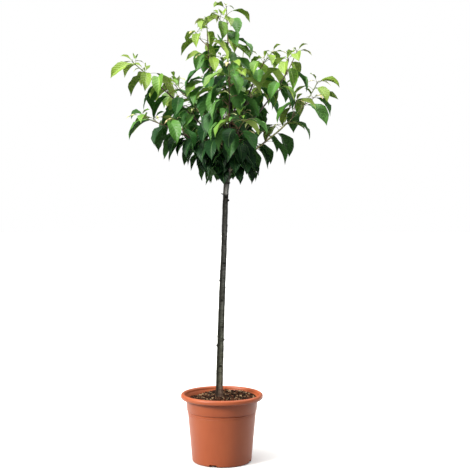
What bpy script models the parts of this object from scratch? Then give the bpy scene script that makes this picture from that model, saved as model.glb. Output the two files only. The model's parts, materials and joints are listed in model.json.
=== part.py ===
"""Young sweet cherry tree in a round nursery pot: closed solids in metres, +Z up.

The origin is the middle of the pot's flat underside. The pot, the soil, the trunk, each bough and
each mass of foliage are objects of their own, and each is about 0.3 mm clear of what carries it.
A mass is one stem with side twigs and leaves, grown by a seeded rule and fused to one body.
"""
import math
import random

import bmesh
import bpy
from mathutils import Matrix, Vector
from mathutils.bvhtree import BVHTree
from mathutils.geometry import interpolate_bezier
from mathutils.kdtree import KDTree

GAP = 0.0003                 # between pieces that touch
UP = Vector((0.0, 0.0, 1.0))

# Pot: injection-moulded, with a collar band, a rolled lip and drainage notches in its foot
POT_SIDES = 32
POT_WALL = 0.0025
LIP_CENTRE = (0.142, 0.236)  # radius and height of the rolled lip's middle
LIP_OUTER = (0.008, 0.009)   # half width and half height of the roll
LIP_INNER = (0.0055, 0.0062)
COLLAR_TOP = (0.1311, 0.2255)
COLLAR_FOOT = (0.1267, 0.1790)
BODY_TOP = (0.1245, 0.1765)
BODY_FOOT = (0.1088, 0.0120)
FLOOR_HEIGHT = 0.009
CHANNEL_HEIGHT = 0.006       # ring-shaped drainage channel under the floor
CHANNEL_INNER = 0.062
CHANNEL_OUTER = 0.090
CHANNEL_SLANT = 0.002        # by which the channel's sides lean outwards at its mouth
FOOT_OUTER = 0.1025
FOOT_EDGE = ((0.0040, 0.0014), (0.0056, 0.0050))  # rounds the foot off: outwards and upwards from its rim
FLOOR_ROUND = 0.0018         # between the floor and the inner wall
LIP_HOLLOW = (215, -58, 4)   # first and last angle in degrees and steps of the hollow and of the roll
LIP_ROLL = (-62, 190, 6)
SHARP_ANGLE = math.radians(30.0)
NOTCHES = 4
NOTCH_WIDTH = 0.028
NOTCH_HEIGHT = 0.007
NOTCH_RUN = (0.086, 0.122)   # along the radius, from the channel to clear of the foot
NOTCH_FIRST = math.radians(-107.5)
DRAIN_RADIUS = 0.006
DRAIN_CIRCLE = 0.076
DRAIN_DEPTH = 0.020
DRAIN_SIDES = 8

# Soil: coarse bark compost, mounded to a flat round the trunk's foot
SOIL_GAP = 0.00035           # from the pot's wall, a little over the gap because both have flat sides
SOIL_EDGE_HEIGHT = 0.2205
SOIL_TOP_HEIGHT = 0.2317
SOIL_FLAT_RADIUS = 0.027
SOIL_RINGS = (0.060, 0.096)
SOIL_INSET = 0.0010          # from the collar's inside to the soil's edge
SOIL_LUMP = 0.0035
SOIL_EDGE_LUMP = 0.3         # of the lumps further in
SOIL_CREST = 0.6             # how high a lump stands, of how deep a hollow lies
SOIL_SEED = 7

# Trunk and leader: height, sideways lean, depthways lean and radius along the stem's axis
TRUNK_SIDES = 12
AXIS = (
    (0.2320, -0.0095, 0.0000, 0.0152),
    (0.2420, -0.0094, 0.0000, 0.0136),
    (0.2650, -0.0090, 0.0002, 0.0123),
    (0.3180, -0.0080, 0.0008, 0.0120),
    (0.3250, -0.0078, 0.0009, 0.0127),
    (0.3330, -0.0076, 0.0010, 0.0120),
    (0.4200, -0.0052, 0.0022, 0.0117),
    (0.5200, -0.0022, 0.0032, 0.0112),
    (0.6500, 0.0025, 0.0034, 0.0106),
    (0.7700, 0.0077, 0.0026, 0.0101),
    (0.8800, 0.0106, 0.0014, 0.0096),
    (0.9600, 0.0133, 0.0006, 0.0092),
    (0.9800, 0.0140, 0.0004, 0.0097),
    (1.0080, 0.0170, 0.0000, 0.0097),
    (1.0300, 0.0208, -0.0004, 0.0089),
    (1.0450, 0.0237, -0.0006, 0.0078),
    (1.1100, 0.0268, -0.0010, 0.0067),
    (1.2000, 0.0305, -0.0012, 0.0055),
    (1.2600, 0.0342, -0.0008, 0.0047),
    (1.3200, 0.0338, 0.0000, 0.0040),
    (1.3300, 0.0337, 0.0001, 0.0039),
    (1.3900, 0.0262, 0.0010, 0.0034),
    (1.4600, 0.0216, 0.0014, 0.0029),
    (1.5400, 0.0216, 0.0010, 0.0023),
    (1.6100, 0.0185, 0.0004, 0.0018),
    (1.6560, 0.0160, 0.0000, 0.0014),
)
TRUNK_TOP = 1.2000
LEADER_SPLIT = 1.3200        # the leader's bare bough ends here and its mass begins
STUBS = (                    # height, heading in degrees, length and radius of pruned twigs
    (0.4165, 172.0, 0.0090, 0.0042),
    (0.4380, -12.0, 0.0075, 0.0040),
    (0.6540, 196.0, 0.0080, 0.0034),
    (0.9460, 8.0, 0.0085, 0.0030),
    (0.9680, 186.0, 0.0120, 0.0028),
)
STUB_SINK = 0.004
STUB_SLOPE = math.radians(38.0)
STUB_SIDES = 6
STUB_SPREAD = 1.35           # how much wider a stub is at its root
STATION_ROOM = 0.004         # a station nearer than this to a run's end is left out
CLEAR_FROM = 0.98            # height from which boughs and spurs are cut clear of the trunk

# Shoots: height on the trunk, tip, slopes at the trunk and at the tip in degrees, the share that is
# bare bough, and a seed
SHOOTS = {
    "right_low": (1.060, (0.344, -0.043, 1.374), 38, 66, 0.25, 61),
    "left_low": (1.072, (-0.290, -0.090, 1.245), 42, 16, 0.33, 82),
    "back_low": (1.085, (-0.055, 0.330, 1.235), 40, 2, 0.33, 32),
    "front_right_low": (1.095, (0.075, -0.270, 1.210), 40, 5, 0.25, 16),
    "left_arch": (1.110, (-0.324, -0.018, 1.451), 52, 42, 0.33, 70),
    "back_right": (1.122, (0.138, 0.260, 1.437), 48, 53, 0.25, 32),
    "front": (1.135, (0.025, -0.255, 1.405), 55, 44, 0.27, 45),
    "right_mid": (1.147, (0.265, -0.105, 1.475), 46, 68, 0.50, 24),
    "back_left": (1.158, (-0.185, 0.210, 1.420), 50, 53, 0.33, 57),
    "left_upright": (1.168, (-0.055, -0.045, 1.600), 62, 88, 0.33, 24),
    "right_upper": (1.178, (0.185, 0.015, 1.490), 58, 45, 0.25, 62),
    "back_upright": (1.193, (0.082, 0.157, 1.522), 60, 78, 0.33, 9),
}
BOUGH_SIDES = 6
STEM_SIDES = 4
SHOOT_STEPS = 12
SHOOT_ROOT_RADIUS = 0.0045
SHOOT_TIP_RADIUS = 0.0014
SHOOT_TAPER = 0.8            # below 1, a shoot thins faster near its root
SHOOT_PHASE = 1.3            # turns each shoot's first leaf by its seed
SHOOT_LEAVES = (1.0, 0.9)    # size and droop of the leaves, as for the leader
LEADER_LEAVES = (0.95, 0.85)
LEADER_PHASE = 2.0
LEADER_SEED = 19
TRUNK_BITE = 0.001           # how far a bough's or a spur's tested run starts inside the trunk
STEM_SPACING = 0.01          # between the points that a mass's space is measured from

# Spurs: short stems straight from the trunk that fill the crown's skirt and heart. Each ring has its
# lowest and highest start, its reach and rise, both slopes, the leaves' size and droop, and a seed for
# each spur
SPURS = {
    "skirt": ((1.032, 1.058), 0.091, 0.100, (52, 10), 0.91, 0.91, (21, 5, 95, 67, 35, 13, 93, 65)),
    "heart": ((1.066, 1.184), 0.088, 0.085, (52, 15), 1.05, 1.00, (80, 24, 33, 54, 50, 56, 25, 70)),
}
SPUR_FIRST = 20.0            # heading of each ring's first spur, in degrees
SPUR_STRIDE = 3              # each next spur stands this many places round the ring
SPUR_STEPS = 5
SPUR_ROOT_RADIUS = 0.0030
SPUR_LEAF_SPACING = 0.013
SPUR_REACHES = (0.85, 1.15)  # spread of the spurs' reach and rise
SPUR_RISES = (0.8, 1.2)
SPUR_TURNS = (0, 14, -14, 28, -28, 42, -42)  # degrees a spur may turn to clear the boughs

# Twigs and leaves
GOLDEN = math.radians(137.5)
TWIG_SIDES = 3
TWIG_STEPS = 2
TWIG_ROOT_RADIUS = 0.0018
TWIG_TIP_RADIUS = 0.0011
TWIG_LENGTHS = (0.045, 0.085)
TWIG_TURNS = (48, 80)        # degrees from the stem's heading
TWIG_SLOPES = (12, 38)
TWIG_BEND = 0.35             # how far a twig turns up towards its tip
TWIG_ROOM = 0.010            # kept free of side twigs at a stem's foot
TWIG_FIRST = 0.095           # from the stem's tip to its first side twig
TWIG_SPACING = 0.072
TWIG_SPREAD = (0.8, 1.2)     # of the spacing
LEAF_FIRST = 0.004           # from a twig's tip to its first leaf
LEAF_LAST = 0.012            # from a twig's foot to its last leaf
LEAF_SPACING = (0.012, 0.022)  # near the tip, and further down
YOUNG_LEAVES = 4             # at each shoot's tip
STALK_RADIUS = 0.0009
STALK_RING = ((0.87, 0.5), (-0.87, 0.5), (0.0, -1.0))  # its corners, sideways and upwards
STALK_LENGTHS = (0.014, 0.032)  # of the youngest leaf and of a grown one, as are the next five
STALK_SLOPES = (58.0, 22.0)  # in degrees, as are the blade's slopes at its base and at its tip
BASE_SLOPES = (38.0, -46.0)
TIP_SLOPES = (4.0, -78.0)
LEAF_LENGTHS = (0.042, 0.106)
LEAF_WIDTHS = (0.42, 0.56)   # of the length
LEAF_SIZES = (0.88, 1.12)    # spread of each leaf's size, of its spacing, stalk, slopes and roll
LEAF_SPREAD = (0.85, 1.15)
STALK_SPREAD = (0.85, 1.20)
SLOPE_SPREAD = (9.0, 14.0, 9.0)
ROLL_SPREAD = 0.30
TURN_SPREAD = 0.35
LEAF_AHEAD = 0.55            # how far a leaf turns towards the way its twig goes
GROWN = 0.8                  # leaves older than this have a full shoulder
LEAF_THICKNESS = 0.0135      # of the length
LEAF_FOLD = math.radians(22.0)
LEAF_WIDEST = 0.34           # of the length, from the stalk
LEAF_SHOULDER = 0.68
SHOULDER_WIDTH = 0.72
CLEARANCE = 0.0011           # kept round each leaf and twig as it is tried
SPACE_MARGIN = 0.050         # how much nearer another stem may be than a leaf's own
LEAF_TURNS = (0, 32, -32, 64, -64, 100, -100, 140)  # degrees a leaf may turn to find room


def material(name, colour, roughness):
    """A plain Principled material."""
    made = bpy.data.materials.new(name)
    made.use_nodes = True
    shader = made.node_tree.nodes["Principled BSDF"]
    shader.inputs["Base Color"].default_value = (*colour, 1.0)
    shader.inputs["Roughness"].default_value = roughness
    made.diffuse_color = (*colour, 1.0)
    return made


def make_object(name, bm, surface=None):
    """Turn a bmesh into an object of the scene."""
    mesh = bpy.data.meshes.new(name)
    bm.to_mesh(mesh)
    bm.free()
    made = bpy.data.objects.new(name, mesh)
    bpy.context.scene.collection.objects.link(made)
    if surface:
        mesh.materials.append(surface)
    return made


def remove_object(item):
    """Delete an object together with its mesh."""
    mesh = item.data
    bpy.data.objects.remove(item)
    bpy.data.meshes.remove(mesh)


def join_or_cut(body, others, operation):
    """Apply one Boolean of the other objects to a body, and remove them."""
    group = bpy.data.collections.new(body.name + "_operands")
    bpy.context.scene.collection.children.link(group)
    for item in others:
        bpy.context.scene.collection.objects.unlink(item)
        group.objects.link(item)
    modifier = body.modifiers.new("boolean", "BOOLEAN")
    modifier.operation = operation
    modifier.operand_type = "COLLECTION"
    modifier.collection = group
    modifier.solver = "EXACT"
    bpy.context.view_layer.update()
    graph = bpy.context.evaluated_depsgraph_get()
    applied = bpy.data.meshes.new_from_object(body.evaluated_get(graph))
    body.modifiers.clear()
    old = body.data
    body.data = applied
    bpy.data.meshes.remove(old)
    applied.name = body.name
    for item in list(group.objects):
        remove_object(item)
    bpy.data.collections.remove(group)


def axis_at(height):
    """Point and radius of the trunk and leader's axis at a height."""
    for (z0, x0, y0, r0), (z1, x1, y1, r1) in zip(AXIS, AXIS[1:]):
        if height <= z1:
            break
    share = (height - z0) / (z1 - z0)
    return Vector((x0 + share * (x1 - x0), y0 + share * (y1 - y0), height)), r0 + share * (r1 - r0)


def axis_run(low, high):
    """Points and radii of the axis from one height to another."""
    between = [row[0] for row in AXIS if low + STATION_ROOM < row[0] < high - STATION_ROOM]
    pairs = [axis_at(height) for height in [low] + between + [high]]
    return [pair[0] for pair in pairs], [pair[1] for pair in pairs]


def tube(points, radii, sides):
    """Closed tapering tube along points: a filled ring, carried on by extrusion."""
    bm = bmesh.new()
    turn = (points[1] - points[0]).to_track_quat("Z", "Y")
    frames = []
    for index, point in enumerate(points):
        ahead = points[min(index + 1, len(points) - 1)] - points[max(index - 1, 0)]
        turn = (turn @ UP).rotation_difference(ahead) @ turn
        frames.append(Matrix.LocRotScale(point, turn, Vector.Fill(3, radii[index])))
    ring = bmesh.ops.create_circle(bm, segments=sides, radius=1.0, matrix=frames[0])["verts"]
    foot = list(ring)
    edges = list(bm.edges)
    for before, after in zip(frames, frames[1:]):
        grown = bmesh.ops.extrude_edge_only(bm, edges=edges)["geom"]
        ring = [item for item in grown if isinstance(item, bmesh.types.BMVert)]
        edges = [item for item in grown if isinstance(item, bmesh.types.BMEdge)]
        bmesh.ops.transform(bm, matrix=after @ before.inverted(), verts=ring)
    bmesh.ops.contextual_create(bm, geom=foot)
    bmesh.ops.contextual_create(bm, geom=ring)
    bmesh.ops.recalc_face_normals(bm, faces=bm.faces)
    return bm


def arc(centre, half_sizes, first, last, steps):
    """Radius and height pairs along part of an ellipse, angles in degrees."""
    pairs = []
    for step in range(steps + 1):
        angle = math.radians(first + (last - first) * step / steps)
        pairs.append((centre[0] + half_sizes[0] * math.cos(angle),
                      centre[1] + half_sizes[1] * math.sin(angle)))
    return pairs


def turned(profile, sides):
    """Solid of revolution from a profile that runs from the axis to the axis, lowest point first."""
    bm = bmesh.new()
    verts = [bm.verts.new((radius, 0.0, height)) for radius, height in profile]
    edges = [bm.edges.new(pair) for pair in zip(verts, verts[1:])]
    bmesh.ops.spin(bm, geom=verts + edges, axis=(0, 0, 1), cent=(0, 0, 0),
                   angle=math.tau, steps=sides, use_merge=True)
    bmesh.ops.remove_doubles(bm, verts=bm.verts, dist=1e-6)
    bmesh.ops.recalc_face_normals(bm, faces=bm.faces)
    return bm


def inner_wall(shrink=0.0):
    """The pot's inside from its floor up, as radius and height pairs."""
    inset = POT_WALL + shrink
    return [
        (BODY_FOOT[0] - inset - FLOOR_ROUND, FLOOR_HEIGHT + shrink),
        (BODY_FOOT[0] - inset, FLOOR_HEIGHT + FLOOR_ROUND + shrink),
        (BODY_TOP[0] - inset, BODY_TOP[1]),
        (COLLAR_FOOT[0] - inset, COLLAR_FOOT[1]),
    ]


def make_pot(surface):
    """Tapered pot with a collar, a rolled lip hollow from beneath, and a channelled foot."""
    underside = [
        (0.0, 0.0),
        (CHANNEL_INNER - CHANNEL_SLANT, 0.0),
        (CHANNEL_INNER, CHANNEL_HEIGHT),
        (CHANNEL_OUTER, CHANNEL_HEIGHT),
        (CHANNEL_OUTER + CHANNEL_SLANT, 0.0),
        (FOOT_OUTER, 0.0),
    ]
    underside += [(FOOT_OUTER + outwards, upwards) for outwards, upwards in FOOT_EDGE]
    side = [BODY_FOOT, BODY_TOP, COLLAR_FOOT, COLLAR_TOP]
    lip_hollow = arc(LIP_CENTRE, LIP_INNER, *LIP_HOLLOW)
    lip = arc(LIP_CENTRE, LIP_OUTER, *LIP_ROLL)
    inside = [(COLLAR_TOP[0] - POT_WALL, COLLAR_TOP[1])] + inner_wall()[::-1]
    profile = underside + side + lip_hollow + lip + inside + [(0.0, FLOOR_HEIGHT)]
    pot = make_object("pot", turned(profile, POT_SIDES), surface)
    cutters = []
    for index in range(NOTCHES):
        angle = NOTCH_FIRST + index * math.tau / NOTCHES
        notch = bmesh.new()
        place = Matrix.Rotation(angle, 4, "Z") @ Matrix.Translation((sum(NOTCH_RUN) / 2, 0, 0))
        size = Matrix.Diagonal((NOTCH_RUN[1] - NOTCH_RUN[0], NOTCH_WIDTH, 2 * NOTCH_HEIGHT, 1.0))
        bmesh.ops.create_cube(notch, size=1.0, matrix=place @ size)
        cutters.append(make_object("notch_%d" % index, notch))
        drain = bmesh.new()
        place = Matrix.Rotation(angle, 4, "Z") @ Matrix.Translation((DRAIN_CIRCLE, 0, FLOOR_HEIGHT))
        bmesh.ops.create_cone(drain, cap_ends=True, segments=DRAIN_SIDES, radius1=DRAIN_RADIUS,
                              radius2=DRAIN_RADIUS, depth=DRAIN_DEPTH, matrix=place)
        cutters.append(make_object("drain_%d" % index, drain))
    join_or_cut(pot, cutters, "DIFFERENCE")
    pot.data.set_sharp_from_angle(angle=SHARP_ANGLE)
    return pot


def make_soil(surface):
    """Plug of compost with a lumpy mound on top, clear of the pot all round."""
    rng = random.Random(SOIL_SEED)
    wall = inner_wall(SOIL_GAP)
    edge_radius = COLLAR_TOP[0] - POT_WALL - SOIL_INSET
    profile = [(0.0, wall[0][1])] + wall + [(edge_radius, SOIL_EDGE_HEIGHT)]
    for radius in SOIL_RINGS[::-1]:
        share = (edge_radius - radius) / (edge_radius - SOIL_FLAT_RADIUS)
        rise = share * share * (3.0 - 2.0 * share)
        profile.append((radius, SOIL_EDGE_HEIGHT + rise * (SOIL_TOP_HEIGHT - SOIL_EDGE_HEIGHT)))
    profile += [(SOIL_FLAT_RADIUS, SOIL_TOP_HEIGHT), (0.0, SOIL_TOP_HEIGHT)]
    bm = turned(profile, POT_SIDES)
    top = [v for v in bm.verts if v.co.z > SOIL_EDGE_HEIGHT - 0.001]
    for vert in sorted(top, key=lambda v: (round(v.co.z, 5), round(math.atan2(v.co.y, v.co.x), 3))):
        radius = math.hypot(vert.co.x, vert.co.y)
        if radius > SOIL_FLAT_RADIUS + 0.001:
            lump = SOIL_LUMP if radius < edge_radius - 0.001 else SOIL_EDGE_LUMP * SOIL_LUMP
            vert.co.z += rng.uniform(-lump, SOIL_CREST * lump)
    return make_object("soil", bm, surface)


def make_trunk(surface):
    """Tapering trunk with its root flare, graft swelling and pruned stubs."""
    points, radii = axis_run(AXIS[0][0], TRUNK_TOP)
    trunk = make_object("trunk", tube(points, radii, TRUNK_SIDES), surface)
    stubs = []
    for height, heading, length, radius in STUBS:
        centre, trunk_radius = axis_at(height)
        flat = Vector((math.cos(math.radians(heading)), math.sin(math.radians(heading)), 0.0))
        lean = flat * math.cos(STUB_SLOPE) + UP * math.sin(STUB_SLOPE)
        root = centre + flat * (trunk_radius - STUB_SINK)
        run = [root, root + lean * (STUB_SINK + length)]
        stubs.append(make_object("stub", tube(run, [radius * STUB_SPREAD, radius], STUB_SIDES)))
    join_or_cut(trunk, stubs, "UNION")
    return trunk


def trunk_cutter():
    """Trunk and lower leader, wider by the gap, to cut the roots of boughs and spurs clear."""
    points, radii = axis_run(CLEAR_FROM, LEADER_SPLIT)
    widened = [radius + GAP / math.cos(math.pi / TRUNK_SIDES) for radius in radii]
    return make_object("trunk_clearance", tube(points, widened, TRUNK_SIDES))


def curve_points(start, tip, launch, finish, steps):
    """Points of a smooth shoot from a start to a tip, with its slopes at both ends."""
    span = tip - start
    flat = Vector((span.x, span.y, 0.0)).normalized()
    reach = span.length / 3.0
    out = flat * math.cos(launch) + UP * math.sin(launch)
    into = flat * math.cos(finish) + UP * math.sin(finish)
    return interpolate_bezier(start, start + out * reach, tip - into * reach, tip, steps + 1)


def lerp(pair, share):
    """Value between two ends."""
    return pair[0] + share * (pair[1] - pair[0])


def leave_trunk(points, radii):
    """The run without what lies inside the trunk."""
    trunk_radius = axis_at(points[0].z)[1]
    first = points[1] - points[0]
    share = min(0.9, (trunk_radius - TRUNK_BITE) / math.hypot(first.x, first.y))
    return [points[0] + first * share] + points[1:], radii


def split_shoot(points, radii, share):
    """Divide a run of points at a share of its steps, with the gap between the halves."""
    cut = round(share * (len(points) - 1))
    step = (points[cut + 1] - points[cut]).normalized() * GAP
    stem = [points[cut] + step] + points[cut + 1:]
    return (points[:cut + 1], radii[:cut + 1]), (stem, radii[cut:])


def walk(points, distance):
    """Point and direction at a distance back from the last of the points."""
    for after, before in zip(points[::-1], points[-2::-1]):
        length = (after - before).length
        if distance <= length:
            break
        distance -= length
    direction = (after - before).normalized()
    return after - direction * min(distance, length), direction


def leaf_body(leaf, swell=0.0):
    """Vertices and faces of a leaf: a three-sided stalk and a folded blade that curves over."""
    flat = Vector((math.cos(leaf["heading"]), math.sin(leaf["heading"]), 0.0))
    side = UP.cross(flat)
    shares = [LEAF_WIDEST, LEAF_SHOULDER - LEAF_WIDEST, 1.0 - LEAF_SHOULDER]
    slopes = [leaf["slopes"][1], 0.5 * (leaf["slopes"][1] + leaf["slopes"][2]), leaf["slopes"][2]]
    stalk = flat * math.cos(leaf["slopes"][0]) + UP * math.sin(leaf["slopes"][0])
    headings = [flat * math.cos(slope) + UP * math.sin(slope) for slope in slopes]
    base = leaf["root"] + stalk * leaf["stalk"]
    widest = base + headings[0] * shares[0] * leaf["length"]
    shoulder = widest + headings[1] * shares[1] * leaf["length"]
    tip = shoulder + headings[2] * (shares[2] * leaf["length"] + 2.0 * swell)
    cos_roll, sin_roll = math.cos(leaf["roll"]), math.sin(leaf["roll"])
    verts = []
    radius = STALK_RADIUS + swell
    normal = stalk.cross(side)
    across = side * cos_roll + normal * sin_roll
    normal = normal * cos_roll - side * sin_roll
    mitre = (stalk + headings[0]).normalized()
    for centre in (leaf["root"], base):
        for sideways, upwards in STALK_RING:
            offset = across * sideways + normal * upwards
            slide = offset.dot(mitre) / stalk.dot(mitre) if centre is base else 0.0
            verts.append(centre + radius * (offset - stalk * slide))
    thick = 0.5 * LEAF_THICKNESS * leaf["length"] + swell
    for centre, before, after, share in ((widest, 0, 1, 1.0), (shoulder, 1, 2, SHOULDER_WIDTH)):
        normal = (headings[before] + headings[after]).normalized().cross(side)
        across = side * cos_roll + normal * sin_roll
        normal = normal * cos_roll - side * sin_roll
        half = 0.5 * leaf["width"] * share + swell
        spread = across * half * math.cos(LEAF_FOLD)
        lift = normal * half * math.sin(LEAF_FOLD)
        if centre is widest:
            verts += [centre + spread + lift, centre + normal * thick, centre - spread + lift,
                      centre - normal * thick]
        elif leaf["large"]:
            verts += [centre + spread + lift, centre - spread + lift]
    verts.append(tip)
    faces = [(0, 2, 1), (1, 4, 3, 0), (0, 3, 5, 2), (2, 5, 4, 1),
             (4, 8, 7), (4, 7, 3), (3, 7, 6), (3, 6, 9), (3, 9, 5), (5, 9, 4), (4, 9, 8)]
    if leaf["large"]:
        faces += [(7, 12, 10), (7, 10, 6), (8, 11, 7), (11, 12, 7),
                  (6, 10, 9), (10, 12, 9), (9, 12, 11), (9, 11, 8)]
    else:
        faces += [(7, 10, 6), (8, 10, 7), (6, 10, 9), (9, 10, 8)]
    return verts, faces


def plan_leaves(mass, points, seed, young):
    """Leaves wanted along one twig, from its tip down, each with its own seeded draws."""
    length = sum((b - a).length for a, b in zip(points, points[1:]))
    distance = LEAF_FIRST
    index = 0
    wanted = []
    while distance < length - LEAF_LAST:
        rng = random.Random(seed * 1000 + index)
        age = math.sqrt(min(1.0, index / young)) if young else 1.0
        root, along = walk(points, distance)
        turn = mass["phase"] + index * GOLDEN + rng.uniform(-TURN_SPREAD, TURN_SPREAD)
        out = Vector((math.cos(turn), math.sin(turn), 0.0))
        out += LEAF_AHEAD * Vector((along.x, along.y, 0.0))
        blade = lerp(LEAF_LENGTHS, age) * rng.uniform(*LEAF_SIZES) * mass["leaf_size"]
        droop = age * mass["droop"]
        slopes = (lerp(STALK_SLOPES, age), lerp(BASE_SLOPES, droop), lerp(TIP_SLOPES, droop))
        wanted.append({
            "root": root,
            "heading": math.atan2(out.y, out.x),
            "slopes": [math.radians(slope + rng.uniform(-spread, spread))
                       for slope, spread in zip(slopes, SLOPE_SPREAD)],
            "stalk": lerp(STALK_LENGTHS, age) * rng.uniform(*STALK_SPREAD),
            "length": blade,
            "width": blade * lerp(LEAF_WIDTHS, age),
            "roll": rng.uniform(-ROLL_SPREAD, ROLL_SPREAD),
            "large": age > GROWN,
        })
        spacing = lerp(LEAF_SPACING, age) if young else SPUR_LEAF_SPACING
        distance += spacing * rng.uniform(*LEAF_SPREAD)
        index += 1
    return wanted


def plan_twigs(mass, seed):
    """Side twigs wanted along a stem, alternating left and right of its heading."""
    points = mass["stem"]
    length = sum((b - a).length for a, b in zip(points, points[1:]))
    distance = TWIG_FIRST
    index = 0
    wanted = []
    while distance < length - TWIG_ROOM:
        rng = random.Random(seed * 1000 + 500 + index)
        root, along = walk(points, distance)
        side = 1.0 if (index + seed) % 2 else -1.0
        turn = math.atan2(along.y, along.x) + side * math.radians(rng.uniform(*TWIG_TURNS))
        flat = Vector((math.cos(turn), math.sin(turn), 0.0))
        slope = math.radians(rng.uniform(*TWIG_SLOPES))
        reach = rng.uniform(*TWIG_LENGTHS)
        out = flat * math.cos(slope) + UP * math.sin(slope)
        bend = flat * math.cos(slope + TWIG_BEND) + UP * math.sin(slope + TWIG_BEND)
        tip = root + 0.5 * reach * (out + bend)
        handles = (root + out * reach / 3, tip - bend * reach / 3)
        wanted.append(interpolate_bezier(root, *handles, tip, TWIG_STEPS + 1))
        distance += TWIG_SPACING * rng.uniform(*TWIG_SPREAD)
        index += 1
    return wanted


class Crown:
    """What stands in the crown so far, and the room that is left in it."""

    def __init__(self):
        self.bodies = []
        self.stems = {}

    def add(self, owner, kind, tree, points):
        """Note a body of an owner: a limb, a twig or a leaf."""
        low = Vector(min(p[i] for p in points) for i in range(3))
        high = Vector(max(p[i] for p in points) for i in range(3))
        self.bodies.append((owner, kind, tree, low, high))

    def add_tube(self, owner, kind, points, radii, sides):
        """Note a limb, a stem or a side twig."""
        bm = tube(points, radii, sides)
        self.add(owner, kind, BVHTree.FromBMesh(bm), [v.co for v in bm.verts])
        bm.free()

    def note_stem(self, owner, points):
        """Keep the line that a mass's space is measured from."""
        run = [points[0]]
        for before, after in zip(points, points[1:]):
            steps = max(1, round((after - before).length / STEM_SPACING))
            run += [before.lerp(after, step / steps) for step in range(1, steps + 1)]
        line = KDTree(len(run))
        for index, point in enumerate(run):
            line.insert(point, index)
        line.balance()
        self.stems[owner] = line

    def in_space(self, owner, point):
        """True where a point is nearer to its own stem than to another, give or take a margin."""
        own = self.stems[owner].find(point)[2]
        return all(own < line.find(point)[2] + SPACE_MARGIN
                   for name, line in self.stems.items() if name != owner)

    def is_clear(self, owner, whole, free_part=None, carrier=None):
        """True where the whole shape misses all other bodies, and its free part its own twigs."""
        low = Vector(min(p[i] for p in whole[0]) for i in range(3))
        high = Vector(max(p[i] for p in whole[0]) for i in range(3))
        whole_tree = BVHTree.FromPolygons(*whole)
        free_tree = BVHTree.FromPolygons(*free_part) if free_part else None
        for name, kind, tree, body_low, body_high in self.bodies:
            apart = any(low[i] > body_high[i] or high[i] < body_low[i] for i in range(3))
            if name == carrier or apart:
                continue
            own_twig = name == owner and kind == "twig"
            shape = free_tree if own_twig else whole_tree
            if shape and shape.overlap(tree):
                return False
        return True


def try_leaf(crown, mass, leaf):
    """Turn a leaf until it stands free in its mass's space. Returns its body, or nothing."""
    heading = leaf["heading"]
    for turn in LEAF_TURNS:
        leaf["heading"] = heading + math.radians(turn)
        verts, faces = leaf_body(leaf, CLEARANCE)
        blade = [face for face in faces if min(face) >= 3]
        if not all(crown.in_space(mass["name"], point) for point in (verts[7], verts[-1])):
            continue
        if crown.is_clear(mass["name"], (verts, faces), (verts, blade)):
            body = leaf_body(leaf)
            crown.add(mass["name"], "leaf", BVHTree.FromPolygons(*body), body[0])
            return body
    return None


def mesh_of(body):
    """A bmesh from vertices and faces."""
    bm = bmesh.new()
    verts = [bm.verts.new(point) for point in body[0]]
    for face in body[1]:
        bm.faces.new([verts[index] for index in face])
    return bm


def tapered(ends, steps, power=1.0):
    """Radii from one end of a run to the other."""
    return [lerp(ends, (step / steps) ** power) for step in range(steps + 1)]


def plan_shoots():
    """Bare boughs and the stems of the masses that they carry, by name."""
    boughs = {}
    masses = []
    radii = tapered((SHOOT_ROOT_RADIUS, SHOOT_TIP_RADIUS), SHOOT_STEPS, SHOOT_TAPER)
    for name, (height, tip, launch, finish, bare, seed) in SHOOTS.items():
        start = axis_at(height)[0]
        slopes = (math.radians(launch), math.radians(finish))
        points = curve_points(start, Vector(tip), *slopes, SHOOT_STEPS)
        boughs[name], (stem, stem_radii) = split_shoot(points, radii, bare)
        masses.append({"name": name, "stem": stem, "radii": stem_radii, "seed": seed,
                       "phase": seed * SHOOT_PHASE, "leaf_size": SHOOT_LEAVES[0],
                       "droop": SHOOT_LEAVES[1], "rooted": False})
    boughs["leader"] = axis_run(TRUNK_TOP + GAP, LEADER_SPLIT)
    stem, stem_radii = axis_run(LEADER_SPLIT + GAP, AXIS[-1][0])
    masses.append({"name": "leader", "stem": stem, "radii": stem_radii, "seed": LEADER_SEED,
                   "phase": LEADER_PHASE, "leaf_size": LEADER_LEAVES[0],
                   "droop": LEADER_LEAVES[1], "rooted": False})
    return boughs, masses


def add_spurs(crown, masses):
    """Short rooted stems round the trunk, each turned until it clears the boughs."""
    radii = tapered((SPUR_ROOT_RADIUS, SHOOT_TIP_RADIUS), SPUR_STEPS)
    for ring, (heights, reach, rise, slopes, size, droop, seeds) in SPURS.items():
        placed = 0
        for index, seed in enumerate(seeds):
            rng = random.Random(seed)
            start = axis_at(lerp(heights, index / (len(seeds) - 1)))[0]
            place = math.radians(SPUR_FIRST + 360.0 * (index * SPUR_STRIDE % len(seeds)) / len(seeds))
            lean = Vector((reach * rng.uniform(*SPUR_REACHES), 0.0, rise * rng.uniform(*SPUR_RISES)))
            for turn in SPUR_TURNS:
                heading = place + math.radians(turn)
                tip = start + Matrix.Rotation(heading, 3, "Z") @ lean
                points = curve_points(start, tip, *map(math.radians, slopes), SPUR_STEPS)
                free = leave_trunk(points, radii)
                test = shape_of(tube(free[0], [radius + CLEARANCE for radius in radii], STEM_SIDES))
                name = "%s_%d" % (ring, placed + 1)
                if crown.is_clear(name, test, carrier="trunk"):
                    masses.append({"name": name, "stem": points, "radii": radii, "seed": seed,
                                   "phase": heading, "leaf_size": size, "droop": droop,
                                   "rooted": True})
                    crown.add_tube(name, "twig", *free, STEM_SIDES)
                    crown.note_stem(name, points)
                    placed += 1
                    break


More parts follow.
